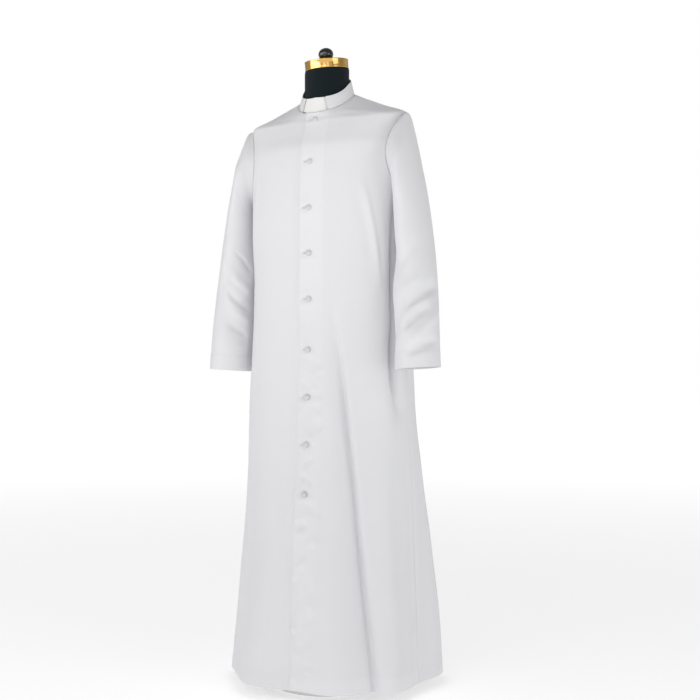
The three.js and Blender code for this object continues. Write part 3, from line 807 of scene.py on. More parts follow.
def grid_lengths(grid, around):
    """How far each point is along its row and up its column, as a cloth map."""
    middle = 0 if around else grid.shape[1] // 2
    steps = np.linalg.norm(np.diff(grid, axis=1), axis=2)
    along = np.concatenate([np.zeros((len(grid), 1)), np.cumsum(steps, axis=1)], axis=1)
    along -= along[:, middle : middle + 1]
    rises = np.linalg.norm(np.diff(grid, axis=0), axis=2)
    up = np.concatenate([np.zeros((1, grid.shape[1])), np.cumsum(rises, axis=0)])
    return np.stack([along, up], axis=-1)


def shell(name, outer, thickness, material, around=False, doubled=None):
    """A closed thin wall under a grid of outer points. doubled has a value for each of them."""
    rows, columns = outer.shape[:2]
    inner = outer - grid_normals(outer, around) * thickness
    count = rows * columns
    index = np.arange(count).reshape(rows, columns)
    right = np.roll(index, -1, axis=1) if around else index[:, 1:]
    left = index if around else index[:, :-1]

    def strip(a, b, c, d):
        return np.stack([a.ravel(), b.ravel(), c.ravel(), d.ravel()], axis=1).tolist()

    faces = strip(left[:-1], right[:-1], right[1:], left[1:])
    faces += strip(*(part + count for part in (left[:-1], left[1:], right[1:], right[:-1])))
    faces += strip(left[0], left[0] + count, right[0] + count, right[0])
    faces += strip(left[-1], right[-1], right[-1] + count, left[-1] + count)
    if not around:
        first, last = index[:, 0], index[:, -1]
        faces += strip(first[:-1], first[1:], first[1:] + count, first[:-1] + count)
        faces += strip(last[:-1], last[:-1] + count, last[1:] + count, last[1:])
    points = np.concatenate([outer.reshape(-1, 3), inner.reshape(-1, 3)])
    lengths = grid_lengths(outer, around).reshape(-1, 2)
    if doubled is None:
        doubled = np.zeros(outer.shape[:2])
    layers = np.tile(np.broadcast_to(doubled, outer.shape[:2]).ravel(), 2)
    return new_piece(name, points, faces, material, np.concatenate([lengths, lengths]), layers)


def loop_faces(index):
    """Faces between loops of point numbers, from the lowest to the highest."""
    right = np.roll(index, -1, axis=1)
    corners = np.stack([index[:-1], right[:-1], right[1:], index[1:]], axis=-1)
    return corners.reshape(-1, 4).tolist()


def stacked(name, loops, material):
    """A closed solid from loops of points, from the lowest to the highest, capped at both ends."""
    rows, columns = loops.shape[:2]
    index = np.arange(rows * columns).reshape(rows, columns)
    faces = loop_faces(index)
    ends = (loops[:1].mean(axis=1), loops[-1:].mean(axis=1))
    points = np.concatenate([loops.reshape(-1, 3), *ends])
    foot = rows * columns
    for column in range(columns):
        after = (column + 1) % columns
        faces.append([foot, int(index[0, after]), int(index[0, column])])
        faces.append([foot + 1, int(index[-1, column]), int(index[-1, after])])
    lengths = grid_lengths(loops, True).reshape(-1, 2)
    return new_piece(name, points, faces, material, np.concatenate([lengths, np.zeros((2, 2))]))


def turned(name, profile, segments, material, place=None):
    """A solid turned on the vertical axis, its profile of (radius, height) running upwards."""
    turn = np.linspace(0, 2 * np.pi, segments, endpoint=False)
    loops = np.array(
        [[[r * math.cos(t), r * math.sin(t), h] for t in turn] for r, h in profile]
    )
    if place is not None:
        loops = place(loops)
    return stacked(name, loops, material)


def finish_sheet(piece, grid, node, around=False):
    """Puts a cloth piece on the body in place of its node; its grid's widths are worked out but not
    used.
    """
    lengths = grid_lengths(grid, around)
    widths = lengths[:, -1, 0] - lengths[:, 0, 0]
    if around:
        widths = widths + np.linalg.norm(grid[:, 0] - grid[:, -1], axis=1)
    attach(piece, BODY)
    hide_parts(node)


# Materials


class Term:
    """A shader socket that takes part in sums."""

    def __init__(self, finish, socket):
        self.finish = finish
        self.socket = socket

    def __add__(self, other):
        return self.finish.maths("ADD", self, other)

    __radd__ = __add__

    def __mul__(self, other):
        return self.finish.maths("MULTIPLY", self, other)

    __rmul__ = __mul__

    def __sub__(self, other):
        return self.finish.maths("SUBTRACT", self, other)


def add_node(tree, kind, settings=None, inputs=None):
    """A node with its settings, a ramp's stops among them, and its inputs' values or links."""
    node = tree.nodes.new(kind)
    for key, value in (settings or {}).items():
        if key == "stops":
            ramp = node.color_ramp.elements
            ramp[0].position, ramp[0].color = value[0]
            ramp[1].position, ramp[1].color = value[-1]
            for place, colour in value[1:-1]:
                ramp.new(place).color = colour
        else:
            setattr(node, key, value)
    for key, value in (inputs or {}).items():
        if isinstance(value, Term):
            tree.links.new(value.socket, node.inputs[key])
        elif isinstance(value, bpy.types.NodeSocket):
            tree.links.new(value, node.inputs[key])
        else:
            node.inputs[key].default_value = value
    return node


class Finish:
    """A material and the nodes that are added to it."""

    def __init__(self, name, **settings):
        self.material = bpy.data.materials.new(name)
        self.material.use_nodes = True
        self.tree = self.material.node_tree
        self.tree.nodes.clear()
        self.surface = self.node("ShaderNodeBsdfPrincipled", inputs=settings)
        self.node("ShaderNodeOutputMaterial", inputs={"Surface": self.surface.outputs[0]})

    def node(self, kind, settings=None, inputs=None):
        """A node of this material."""
        return add_node(self.tree, kind, settings, inputs)

    def out_of(self, kind, output, settings=None, inputs=None):
        """One output of a new node."""
        return Term(self, self.node(kind, settings, inputs).outputs[output])

    def maths(self, operation, *values):
        """A Math node on terms or numbers."""
        return self.out_of("ShaderNodeMath", 0, {"operation": operation}, dict(enumerate(values)))

    def feed(self, **links):
        """Links terms to the surface's sockets, an underscore standing for a space."""
        for key, term in links.items():
            self.tree.links.new(term.socket, self.surface.inputs[key.replace("_", " ")])

    def noise(self, vector, scale, detail=3.0, roughness=0.5):
        """Even noise from 0 to 1 on a vector."""
        inputs = {"Vector": vector, "Scale": scale, "Detail": detail, "Roughness": roughness}
        return self.out_of("ShaderNodeTexNoise", 0, {"noise_dimensions": "3D"}, inputs)

    def blend(self, factor, first, second):
        """A mix of two colours."""
        settings = {"data_type": "RGBA", "clamp_factor": True}
        return self.out_of("ShaderNodeMix", 2, settings, {0: factor, 6: first, 7: second})

    def bump(self, height, distance, strength=1.0):
        """Feeds the surface's normal from a height of 0 to 1 that stands for a distance."""
        inputs = {"Height": height, "Distance": distance, "Strength": strength}
        self.feed(Normal=self.out_of("ShaderNodeBump", 0, None, inputs))


def place_terms(finish):
    """The cloth map's vector, and its round and up lengths in metres."""
    vector = finish.out_of("ShaderNodeUVMap", 0, {"uv_map": "cloth_map"})
    parts = finish.node("ShaderNodeSeparateXYZ", inputs={0: vector})
    return vector, Term(finish, parts.outputs[0]), Term(finish, parts.outputs[1])


def object_place(finish):
    """The place in the shared frame, in metres."""
    return finish.out_of("ShaderNodeTexCoord", "Object")


def shade(colour, factor):
    """A colour made darker or lighter."""
    return tuple(min(part * factor, 1) for part in colour[:3]) + (1,)


def satin_cloth(name, colour, pitch, roughness, sheen):
    """A fine diagonal weave with a soft shine, faint slubs and uneven pressing."""
    finish = Finish(name, **{
        "Sheen Weight": sheen, "Sheen Roughness": 0.35, "Specular IOR Level": 0.42,
    })
    vector, around, up = place_terms(finish)
    place = object_place(finish)
    turns = 2 * math.pi / pitch
    warp = finish.maths("SINE", (around + up * 0.5) * turns)
    weft = finish.maths("SINE", (up - around * 0.25) * (turns * 0.8))
    slub_map = finish.out_of(
        "ShaderNodeMapping", 0, None, {"Vector": vector, "Scale": (900, 24, 1)}
    )
    slubs = finish.noise(slub_map, 1.0, 2.0)
    pressing = finish.noise(place, 9.0, 4.0)
    patches = finish.noise(place, 2.6, 2.0)
    weave = warp * 0.34 + weft * 0.16 + slubs * 0.7
    finish.bump(weave, pitch * 0.16, 0.5)
    tone = patches * 0.5 + slubs * 0.32 + pressing * 0.18
    single = finish.blend(tone, shade(colour, 0.945), shade(colour, 1.0))
    doubled = finish.out_of("ShaderNodeAttribute", "Fac", {"attribute_name": "doubled"})
    finish.feed(
        Base_Color=finish.blend(doubled * 0.45, single, shade(colour, 1.05)),
        Roughness=roughness - 0.07 + pressing * 0.1 + slubs * 0.04,
    )
    return finish.material


def tab_plastic(colour):
    """Smooth pressed plastic with the faintest grain."""
    finish = Finish("tab_plastic", **{"Specular IOR Level": 0.45, "Coat Roughness": 0.3})
    place = object_place(finish)
    grain = finish.noise(place, 900.0, 2.0)
    cloud = finish.noise(place, 40.0, 2.0)
    finish.bump(grain, 0.00003, 0.4)
    finish.feed(
        Base_Color=finish.blend(cloud, shade(colour, 0.97), colour),
        Roughness=0.36 + grain * 0.1,
    )
    return finish.material


def black_jersey(colour):
    """Fine knitted ribs in near black, with a dusty sheen."""
    finish = Finish("black_jersey", **{
        "Sheen Weight": 0.04, "Sheen Roughness": 0.5, "Specular IOR Level": 0.2,
    })
    _, around, up = place_terms(finish)
    place = object_place(finish)
    wale_pitch, course_pitch = 0.0012, 0.0009
    wale = finish.maths("SINE", around * (2 * math.pi / wale_pitch))
    course = finish.maths("SINE", up * (2 * math.pi / course_pitch))
    lint = finish.noise(place, 260.0, 3.0)
    cloud = finish.noise(place, 14.0, 3.0)
    finish.bump(wale * 0.4 + course * 0.3 + lint * 0.6, 0.00025, 0.6)
    finish.feed(
        Base_Color=finish.blend(
            cloud * 0.7 + lint * 0.3, shade(colour, 0.6), shade(colour, 1.1),
        ),
        Roughness=0.78 + cloud * 0.14,
    )
    return finish.material


def polished_gold(colour):
    """Bright plated metal with faint turned lines and thumb marks."""
    finish = Finish("polished_gold", **{"Metallic": 1.0})
    place = object_place(finish)
    parts = finish.node("ShaderNodeSeparateXYZ", inputs={0: place})
    line_pitch = 0.0007
    lines = finish.maths("SINE", Term(finish, parts.outputs[2]) * (2 * math.pi / line_pitch))
    marks = finish.noise(place, 55.0, 4.0)
    finish.bump(lines * 0.3 + marks * 0.4, 0.00002, 0.35)
    finish.feed(
        Base_Color=finish.blend(marks, shade(colour, 0.9), shade(colour, 1.05)),
        Roughness=0.06 + marks * 0.1,
    )
    return finish.material


def black_lacquer(colour):
    """Hard gloss with a slight orange peel."""
    finish = Finish("black_lacquer", **{"Coat Weight": 0.6, "Coat Roughness": 0.06})
    place = object_place(finish)
    peel = finish.noise(place, 320.0, 2.0)
    marks = finish.noise(place, 26.0, 4.0)
    finish.bump(peel, 0.00004, 0.3)
    finish.feed(
        Base_Color=finish.blend(marks, shade(colour, 0.8), shade(colour, 1.3)),
        Roughness=0.12 + marks * 0.1,
    )
    return finish.material


def stand_metal(colour):
    """White powder coat with a fine grit."""
    finish = Finish("stand_metal", **{"Metallic": 0.35})
    place = object_place(finish)
    grit = finish.noise(place, 1400.0, 2.0)
    wear = finish.noise(place, 18.0, 5.0)
    finish.bump(grit, 0.00008, 0.7)
    finish.feed(
        Base_Color=finish.blend(wear, shade(colour, 0.9), shade(colour, 1.04)),
        Roughness=0.38 + wear * 0.18,
    )
    return finish.material


def material(name, make):
    """The material of that name, made once."""
    return bpy.data.materials.get(name) or make()


def cassock_material(name, tone, roughness):
    """A cloth of the cassock, its colour multiplied by tone."""
    sizes = bpy.context.scene.cassock_cloth
    colour = shade((*sizes.colour, 1), tone)

    def make():
        return satin_cloth(name, colour, sizes.pitch, roughness, sizes.sheen)

    return material(name, make)


def cloth_material():
    """The cassock's cloth."""
    return cassock_material("white_satin", 1.0, bpy.context.scene.cassock_cloth.roughness)


def painted_shade_button_material():
    """The cloth that covers the buttons and binds the buttonholes, darkened as painted shade."""
    # tone 0.84 darkens the white cloth on buttons and lips to stand for their shade: painted shade
    return cassock_material("button_satin", 0.84, 0.55)


def thread_material():
    """Twisted sewing thread."""

    def make():
        finish = Finish("white_thread", **{"Sheen Weight": 0.2, "Specular IOR Level": 0.35})
        place = object_place(finish)
        strands = finish.noise(place, 2600.0, 2.0)
        finish.bump(strands, 0.00005, 0.6)
        colour = (*bpy.context.scene.cassock_cloth.colour, 1)
        finish.feed(
            Base_Color=finish.blend(strands, shade(colour, 0.9), shade(colour, 1.02)),
            Roughness=0.55 + strands * 0.15,
        )
        return finish.material

    return material("white_thread", make)


# The body panels


def body_grid(angles, z, inward, creases, extra):
    """Outer points of a panel of the body."""
    offset = fold_sum(angles, z) + body_creases(angles, z, creases) + extra - inward
    return ring_points(angles, z) + ring_normals(angles, z) * offset[..., None]


def panel_angles(first, last, shares):
    """Angles of a panel's points between its two edges, row by row."""
    return first[:, None] + (last - first)[:, None] * shares[None, :]


def panel_places(first, last, z, shares):
    """A panel's angles, heights and lengths across the front, and its distances from both edges."""
    angles = panel_angles(first, last, shares)
    heights = np.repeat(z[:, None], len(shares), axis=1)
    scale = body_scale(z)[:, None]
    from_first = (angles - first[:, None]) * scale
    from_last = (last[:, None] - angles) * scale
    return angles, heights, angles * scale, from_first, from_last


def front_left_grid():
    """The left front, whose edge carries the button band, and where it is doubled."""
    z, opens = cloth_rows(**FRONT_ROWS)
    shares = edge_shares(columns=92, edges=EDGE_COLUMNS, length=360)
    last = 90 - ARMHOLE_FRONT * opens - seam_degrees(z)
    angles, heights, across, lap_side, seam_side = panel_places(-lap_angle(z), last, z, shares)
    extra = seam_pinch(seam_side) + band_form(across, heights)
    extra = extra - 0.5 * np.exp(-lap_side / 1.2) + hem_form(heights - HEM_Z, HEM_BAND)
    extra = extra + neck_pinch(heights)
    grid = body_grid(angles, heights, 0, FRONT_CREASES, extra)
    return grid, band_doubling(across, heights)


def front_right_grid():
    """The right front, which dips under the left one."""
    z, opens = cloth_rows(**FRONT_ROWS)
    shares = edge_shares(columns=96, edges=EDGE_COLUMNS, length=380)
    first = -90 + ARMHOLE_FRONT * opens + seam_degrees(z)
    last = front_degrees(UNDERLAP, z)
    dip_start = (-lap_angle(z) - front_degrees(DIP_START, z))[:, None]
    dip_end = (-lap_angle(z) - front_degrees(DIP_END, z))[:, None]
    angles, heights, across, seam_side, _ = panel_places(first, last, z, shares)
    dip = (CAD_WALL + SEAM) * smooth((angles - dip_start) / (dip_end - dip_start))
    covered = smooth((angles - dip_end) / front_degrees(4, z)[:, None] + 1)
    extra = seam_pinch(seam_side) + hem_form(heights - HEM_Z, HEM_BAND)
    extra = extra + neck_pinch(heights)
    extra = extra * (1 - covered) + COVERED_LIFT * covered
    extra = extra + covered * np.minimum(band_form(across, heights), 0)
    return body_grid(angles, heights, dip, FRONT_CREASES, extra)


def back_grid():
    """The back, in one piece from side seam to side seam."""
    z, opens = cloth_rows(**BACK_ROWS)
    shares = edge_shares(columns=168, edges=EDGE_COLUMNS, length=720)
    first = 90 + ARMHOLE_BACK * opens + seam_degrees(z)
    angles, heights, _, from_left, from_right = panel_places(first, 360 - first, z, shares)
    extra = seam_pinch(from_left) + seam_pinch(from_right) + hem_form(heights - HEM_Z, HEM_BAND)
    extra = extra + neck_pinch(heights)
    return body_grid(angles, heights, 0, BACK_CREASES, extra)


# Sleeves


def sleeve_rings(side, row, turn):
    """Points of the plain sleeve at places in the table of rings and turns round them."""
    hang = LEFT_HANG if side > 0 else RIGHT_HANG
    outer_share = (1 - np.cos(turn)) / 2

    def column(name):
        return table_value(SLEEVE_RINGS, name, "row", row)

    inner_x, inner_z = column("inner_x"), column("inner_z")
    x = SWAY + side * (inner_x + (column("outer_x") - inner_x) * outer_share)
    forward = column("forward") * hang.share
    deep = column("deep") + 0.6 * forward
    y = hang.swing * column("bend") - forward - deep * np.sin(turn)
    z = inner_z + (column("outer_z") - inner_z) * outer_share
    return np.stack(np.broadcast_arrays(x, y, z), axis=-1)


def armhole_ring(side, turn):
    """Points of the body's armhole at turns of the sleeve, and the outward directions there."""
    in_front = turn <= np.pi
    hole_turn = np.where(in_front, turn, 2 * np.pi - turn)
    middle, half = (ARMPIT_Z + SHOULDER_Z) / 2, (SHOULDER_Z - ARMPIT_Z) / 2
    z = middle - half * np.cos(hole_turn)
    opens = np.sin(hole_turn) * np.where(in_front, -ARMHOLE_FRONT, ARMHOLE_BACK)
    angle = side * (90 + opens)
    normals = ring_normals(angle, z)
    return ring_points(angle, z) + normals * fold_sum(angle % 360, z)[..., None], normals


def sleeve_folds(shares, around):
    """What the large folds add to a sleeve."""
    total = np.zeros(np.broadcast(shares, around).shape)
    for fold in SLEEVE_FOLDS:
        away = turn_between(around, fold.around)
        line = shares - fold.along - away / fold.slant / 10
        total += fold.depth * bell(line, fold.lengthways) * bell(away, fold.roundways)
    return total


def sleeve_grid(side):
    """The sleeve's rings of points from the cuff up to the armhole, side 1 for the left."""
    creases = LEFT_SLEEVE_CREASES if side > 0 else RIGHT_SLEEVE_CREASES
    near_edges = [0.0016, 0.005, 0.9984]
    shares = np.sort(np.concatenate([np.linspace(0, 1, SLEEVE_ROWS), near_edges]))[:, None]
    row = shares * (len(SLEEVE_RINGS) - 1)
    turn = np.linspace(0, 2 * np.pi, SLEEVE_COLUMNS, endpoint=False)[None, :]
    hole, hole_normals = armhole_ring(side, turn)
    fade = np.clip(1 - row / 3, 0, 1)[..., None]
    armhole_gap = hole - sleeve_rings(side, np.zeros((1, 1)), turn)
    points = sleeve_rings(side, row, turn) + armhole_gap * fade

    around = np.degrees(turn)
    run = shares * SLEEVE_LENGTH
    across = around * SLEEVE_MM_PER_DEGREE
    closing = smooth((360 - around) / 30)
    head = bell(around - 180, 70)
    offset = sleeve_folds(shares, around)
    offset += crease_sum(around, run, creases, lambda at: SLEEVE_MM_PER_DEGREE)
    offset += 0.45 * soft_noise(across, run, 60, 31 + side) * closing
    offset += 0.2 * soft_noise(across, run, 24, 41 + side) * closing
    offset += hem_form(SLEEVE_LENGTH - run, CUFF_BAND)
    offset += (seam_pinch(run) + 1.6 * head * bell(run - 9, 7)) * smooth(run / 1.5)
    offset += -0.9 * bell(turn_between(around, 0), 1.6)
    centre = points.mean(axis=1, keepdims=True)
    points = points + unit(points - centre) * offset[..., None]
    points[0] += np.array([side, 0, -0.6]) / math.hypot(1, 0.6) * SEAT
    tuck = points[0] - hole_normals[0] * 1.8 - np.array([side * 1.6, 0, 0])
    grid = np.concatenate([tuck[None], points])[::-1]
    return grid if side > 0 else grid[:, ::-1]


# Collar and tab


def collar_height(angle):
    """The collar's height at an angle round the neck."""
    return table_value(COLLAR_HEIGHTS, "height", "angle", np.abs(turn_between(angle, 0)))


def neck_band(angles, up, inward, bulge, drop=0.0):
    """Points of a standing band over the neckline; up runs from 0 at its foot to 1.

    drop lowers its foot into the neckline's seam.
    """
    foot = ring_points(angles, np.full_like(angles, NECK_Z))
    out = unit(foot * np.array([1, 1, 0]))
    cosine = np.cos(np.radians(angles))
    end_lean = np.where(cosine > 0, COLLAR_LEAN_FRONT, COLLAR_LEAN_BACK)
    lean = COLLAR_LEAN_SIDE + (end_lean - COLLAR_LEAN_SIDE) * cosine**2
    points = foot + out * (bulge - lean * up - inward)[..., None]
    points[..., 2] += SEAT + collar_height(angles) * up - drop * (1 - up) ** 12
    return points


def collar_grid():
    """The stiff collar, its front ends cut slanting for the tab."""
    up = np.concatenate([[0, 0.03], np.linspace(0.08, 0.92, 15), [0.965, 0.99, 1]])
    shares = edge_shares(columns=150, edges=EDGE_COLUMNS, length=COLLAR_LENGTH)
    end = COLLAR_END_FOOT + (COLLAR_END_TOP - COLLAR_END_FOOT) * up
    angles = panel_angles(end, 360 - end, shares) + COLLAR_TURN
    ups = np.repeat(up[:, None], len(shares), axis=1)
    height = collar_height(angles)
    run = (1 - ups) * height
    bulge = -0.55 * np.exp(-run / 0.9) - 0.25 * np.exp(-ups * height / 1.4)
    bulge = bulge - 0.22 * bell(run - COLLAR_STITCHING, 0.9)
    along = turn_between(angles, 180) * COLLAR_MM_PER_DEGREE
    rise = ups * COLLAR_HEIGHTS[0].height
    wave = soft_noise(along, rise, 26, 51) + 0.16 * soft_noise(along, rise, 9, 52)
    edge = np.minimum(shares, 1 - shares)[None, :] * COLLAR_LENGTH
    bulge = bulge + wave * smooth(ups * 3) * smooth((1 - ups) * 3) + 0.9 * np.exp(-edge / 6)
    return neck_band(angles, ups, 0, bulge, 1.8)


def tab_grid():
    """The white tab, its ends inside the collar."""
    up = np.concatenate([[0, 0.02], np.linspace(0.06, 0.94, 9), [0.98, 1]])
    shares = edge_shares(columns=60, edges=(0.5, 1.2, 2.5), length=TAB_LENGTH)
    turned_by = panel_angles(np.full(len(up), -TAB_END), np.full(len(up), TAB_END), shares)
    angles = turned_by + COLLAR_TURN
    ups = np.repeat(up[:, None], len(shares), axis=1)
    height = collar_height(angles)
    bulge = -0.3 * np.exp(-(1 - ups) * height / 0.6) - 0.3 * np.exp(-ups * height / 0.6)
    end = COLLAR_END_FOOT + (COLLAR_END_TOP - COLLAR_END_FOOT) * ups
    bulge = bulge - 3.5 * bell(turned_by - end + 1.2, 1.3)
    return neck_band(angles, ups, CAD_WALL + SEAT, bulge)


# Buttons and buttonholes


def button_seat(height):
    """The place and outward direction on the left front's centre line at a height."""
    rise = float(table_value(BODY_RINGS, "front_rise", "z", height))
    z = np.array([height - rise])
    angle = np.zeros(1)
    step = 3.0

    def point(angle, z):
        spot = band_form(angle * body_scale(z), z)
        offset = fold_sum(angle, z) + body_creases(angle, z, FRONT_CREASES) + spot
        return (ring_points(angle, z) + ring_normals(angle, z) * offset[..., None])[0]

    plain = ring_normals(angle, z)[0]
    around = point(angle + step / 2, z) - point(angle - step / 2, z)
    up = point(angle, z + step * 3) - point(angle, z - step * 3)
    creased = np.cross(around, up)
    normal = unit(creased * 0.4 + plain * np.linalg.norm(creased) * 0.6)
    return point(angle, z), normal


def button_frame(normal):
    """Right and up directions on the cloth for a direction out of it."""
    right = unit(np.cross([0, 0, 1], normal))
    return right, np.cross(normal, right)


def place_on(seat, normal, grid):
    """Moves a grid of (right, up, out) points onto the cloth."""
    right, up = button_frame(normal)
    return seat + grid[..., :1] * right + grid[..., 1:2] * up + grid[..., 2:] * normal


def make_button(index, height):
    """A covered button: a shallow shank, a rim and a domed top with drawn folds at its edge."""
    sizes = bpy.context.scene.cassock_buttons
    radius = sizes.diameter / MM / 2
    dome = sizes.dome / MM
    box_low, box_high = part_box(f"button_{index + 1}")
    centre = (np.array(box_low) + np.array(box_high)) / 2 / MM
    _, normal = button_seat(height)
    turn = np.linspace(0, 2 * np.pi, 40, endpoint=False)
    loops = []
    for ring in BUTTON_PROFILE:
        gather = 1 + 0.018 * np.sin(turn * 13 + index) * bell(ring.height - 0.35, 0.2)
        reach = radius * ring.radius * gather
        level = np.full_like(turn, dome * ring.height)
        loops.append(np.stack([reach * np.cos(turn), reach * np.sin(turn), level], -1))
    grid = np.array(loops)
    seat = centre - normal * dome / 2
    # the button's cloth is darkened as painted shade
    piece = stacked(f"covered_button_{index + 1}", place_on(seat, normal, grid), painted_shade_button_material())
    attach(piece, BODY)
    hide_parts(f"button_{index + 1}")


def buttonhole_lips(height):
    """The two bound lips of a buttonhole as loops of (right, up, out) points."""
    section = np.linspace(0, 2 * np.pi, 12, endpoint=False)
    lips = []
    for side in (-1, 1):
        loops = []
        for place in np.linspace(-1, 1, 25):
            taper = math.sqrt(max(1 - abs(place) ** 6, 0.02))
            wave = 0.12 * math.sin(place * 9 + side + height)
            aside = side * (LIP_WIDTH * 1.12) + wave
            centre = np.array([LIP_MIDDLE + place * LIP_HALF_LENGTH, aside, 0.35])
            up = LIP_WIDTH * taper * np.cos(section)
            out = LIP_LIFT * taper * np.sin(section)
            loops.append(centre + np.stack([np.zeros_like(section), up, out], -1))
        lips.append(np.array(loops))
    return lips


def make_buttonholes():
    """The lips of all the buttonholes, as one piece on the left front."""
    points, faces = [], []
    for height in BUTTON_HEIGHTS:
        seat, normal = button_seat(height)
        for lip in buttonhole_lips(height):
            grid = place_on(seat, normal, lip)
            rows, columns = grid.shape[:2]
            start = sum(len(block) for block in points)
            index = np.arange(rows * columns).reshape(rows, columns) + start
            faces += loop_faces(index)
            faces += [index[0][::-1].tolist(), index[-1].tolist()]
            points.append(grid.reshape(-1, 3))
    # the lips' cloth is darkened as painted shade, like the buttons
    piece = new_piece("buttonholes", np.concatenate(points), faces, painted_shade_button_material())
    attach(piece, BODY)


# Stitches


def stitch_tree():
    """Geometry nodes that lay stitches along a path whose outward directions are stored on it."""
    tree = bpy.data.node_groups.new("stitches_on_path", "GeometryNodeTree")
    face = tree.interface
    face.new_socket("Path", in_out="INPUT", socket_type="NodeSocketGeometry")
    for label, kind, value in (
        ("Pitch", "NodeSocketFloat", 0.0029), ("Stitch length", "NodeSocketFloat", 0.0021),
        ("Thread", "NodeSocketFloat", 0.0004), ("Seed", "NodeSocketInt", 5),
        ("Finish", "NodeSocketMaterial", None),
    ):
        socket = face.new_socket(label, in_out="INPUT", socket_type=kind)
        if value is not None:
            socket.default_value = value
    face.new_socket("Stitches", in_out="OUTPUT", socket_type="NodeSocketGeometry")

    def node(kind, settings=None, inputs=None):
        return add_node(tree, kind, settings, inputs)

    source = node("NodeGroupInput").outputs
    curve = node("GeometryNodeMeshToCurve", None, {"Mesh": source["Path"]}).outputs["Curve"]
    even = node("GeometryNodeResampleCurve", {"mode": "LENGTH"}, {
        "Curve": curve, "Length": source["Pitch"],
    }).outputs["Curve"]
    outward = node("GeometryNodeInputNamedAttribute", {"data_type": "FLOAT_VECTOR"}, {
        "Name": "outward",
    })
    tangent = node("GeometryNodeInputTangent").outputs[0]
    along = node("FunctionNodeAlignEulerToVector", {"axis": "X"}, {"Vector": tangent}).outputs[0]
    seated = node("FunctionNodeAlignEulerToVector", {"axis": "Z", "pivot_axis": "X"}, {
        "Rotation": along, "Vector": outward.outputs["Attribute"],
    }).outputs[0]
    size = node("ShaderNodeCombineXYZ", None, {
        0: source["Stitch length"], 1: source["Thread"], 2: source["Thread"],
    }).outputs[0]
    uneven = node("FunctionNodeRandomValue", {"data_type": "FLOAT"}, {
        2: 0.86, 3: 1.08, "Seed": source["Seed"],
    }).outputs[1]
    scale = node("ShaderNodeVectorMath", {"operation": "SCALE"}, {
        0: size, "Scale": uneven,
    }).outputs[0]
    bead = node("GeometryNodeMeshUVSphere", None, {
        "Segments": 6, "Rings": 4, "Radius": 0.5,
    }).outputs["Mesh"]
    smooth_bead = node("GeometryNodeSetShadeSmooth", None, {"Geometry": bead}).outputs[0]
    laid = node("GeometryNodeInstanceOnPoints", None, {
        "Points": even, "Instance": smooth_bead, "Rotation": seated, "Scale": scale,
    }).outputs[0]
    real = node("GeometryNodeRealizeInstances", None, {"Geometry": laid}).outputs[0]
    dressed = node("GeometryNodeSetMaterial", None, {
        "Geometry": real, "Material": source["Finish"],
    }).outputs[0]
    node("NodeGroupOutput", None, {0: dressed})
    return tree


def lay_stitches(name, paths):
    """Stitches along paths of points and outward directions, as one plain mesh on the body."""
    sizes = bpy.context.scene.cassock_stitches
    lift = 0.06  # of the stitches' middle over the cloth
    points, edges, outward = [], [], []
    for path, normals in paths:
        start = sum(len(part) for part in points)
        points.append(path + normals * lift)
        outward.append(normals)
        edges += [(start + step, start + step + 1) for step in range(len(path) - 1)]
    mesh = bpy.data.meshes.new(name + "_path")
    mesh.from_pydata((np.concatenate(points) * MM).tolist(), edges, [])
    stored = mesh.attributes.new("outward", "FLOAT_VECTOR", "POINT")
    stored.data.foreach_set("vector", np.concatenate(outward).ravel())
    path_object = bpy.data.objects.new(name + "_path", mesh)
    bpy.context.scene.collection.objects.link(path_object)
    tree = bpy.data.node_groups.get("stitches_on_path") or stitch_tree()
    modifier = path_object.modifiers.new("stitches", "NODES")
    modifier.node_group = tree
    values = {
        "Pitch": sizes.pitch, "Stitch length": sizes.length, "Thread": sizes.thread,
        "Seed": sizes.seed, "Finish": thread_material(),
    }
    for item in tree.interface.items_tree:
        if item.in_out == "INPUT" and item.name in values:
            modifier[item.identifier] = values[item.name]
    bpy.context.view_layer.update()
    evaluated = path_object.evaluated_get(bpy.context.evaluated_depsgraph_get())
    plain = bpy.data.meshes.new_from_object(evaluated)
    plain.name = name
    piece = bpy.data.objects.new(name, plain)
    bpy.context.scene.collection.objects.link(piece)
    path_object.modifiers.clear()
    bpy.data.objects.remove(path_object)
    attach(piece, BODY)


def grid_path(grid, around, row=None, column=None):
    """A row or column of a grid, or a place between two, with its outward directions."""
    normals = grid_normals(grid, around)

    def between(array, place, axis):
        low = int(math.floor(place))
        share = place - low
        high = min(low + 1, array.shape[axis] - 1)
        return np.take(array, low, axis) * (1 - share) + np.take(array, high, axis) * share

    if row is not None:
        path, directions = between(grid, row, 0), between(normals, row, 0)
        if around:
            path = np.concatenate([path, path[:1]])
            directions = np.concatenate([directions, directions[:1]])
    else:
        path, directions = between(grid, column, 1), between(normals, column, 1)
    return path, unit(directions)


def row_at(grid, column, run, from_top=False):
    """The row of a grid that is a length away from its foot, or its top, along a column."""
    steps = np.linalg.norm(np.diff(grid[:, column], axis=0), axis=1)
    lengths = np.concatenate([[0], np.cumsum(steps)])
    if from_top:
        return float(np.interp(lengths[-1] - run, lengths, np.arange(len(lengths))))
    return float(np.interp(run, lengths, np.arange(len(lengths))))


# The dress form


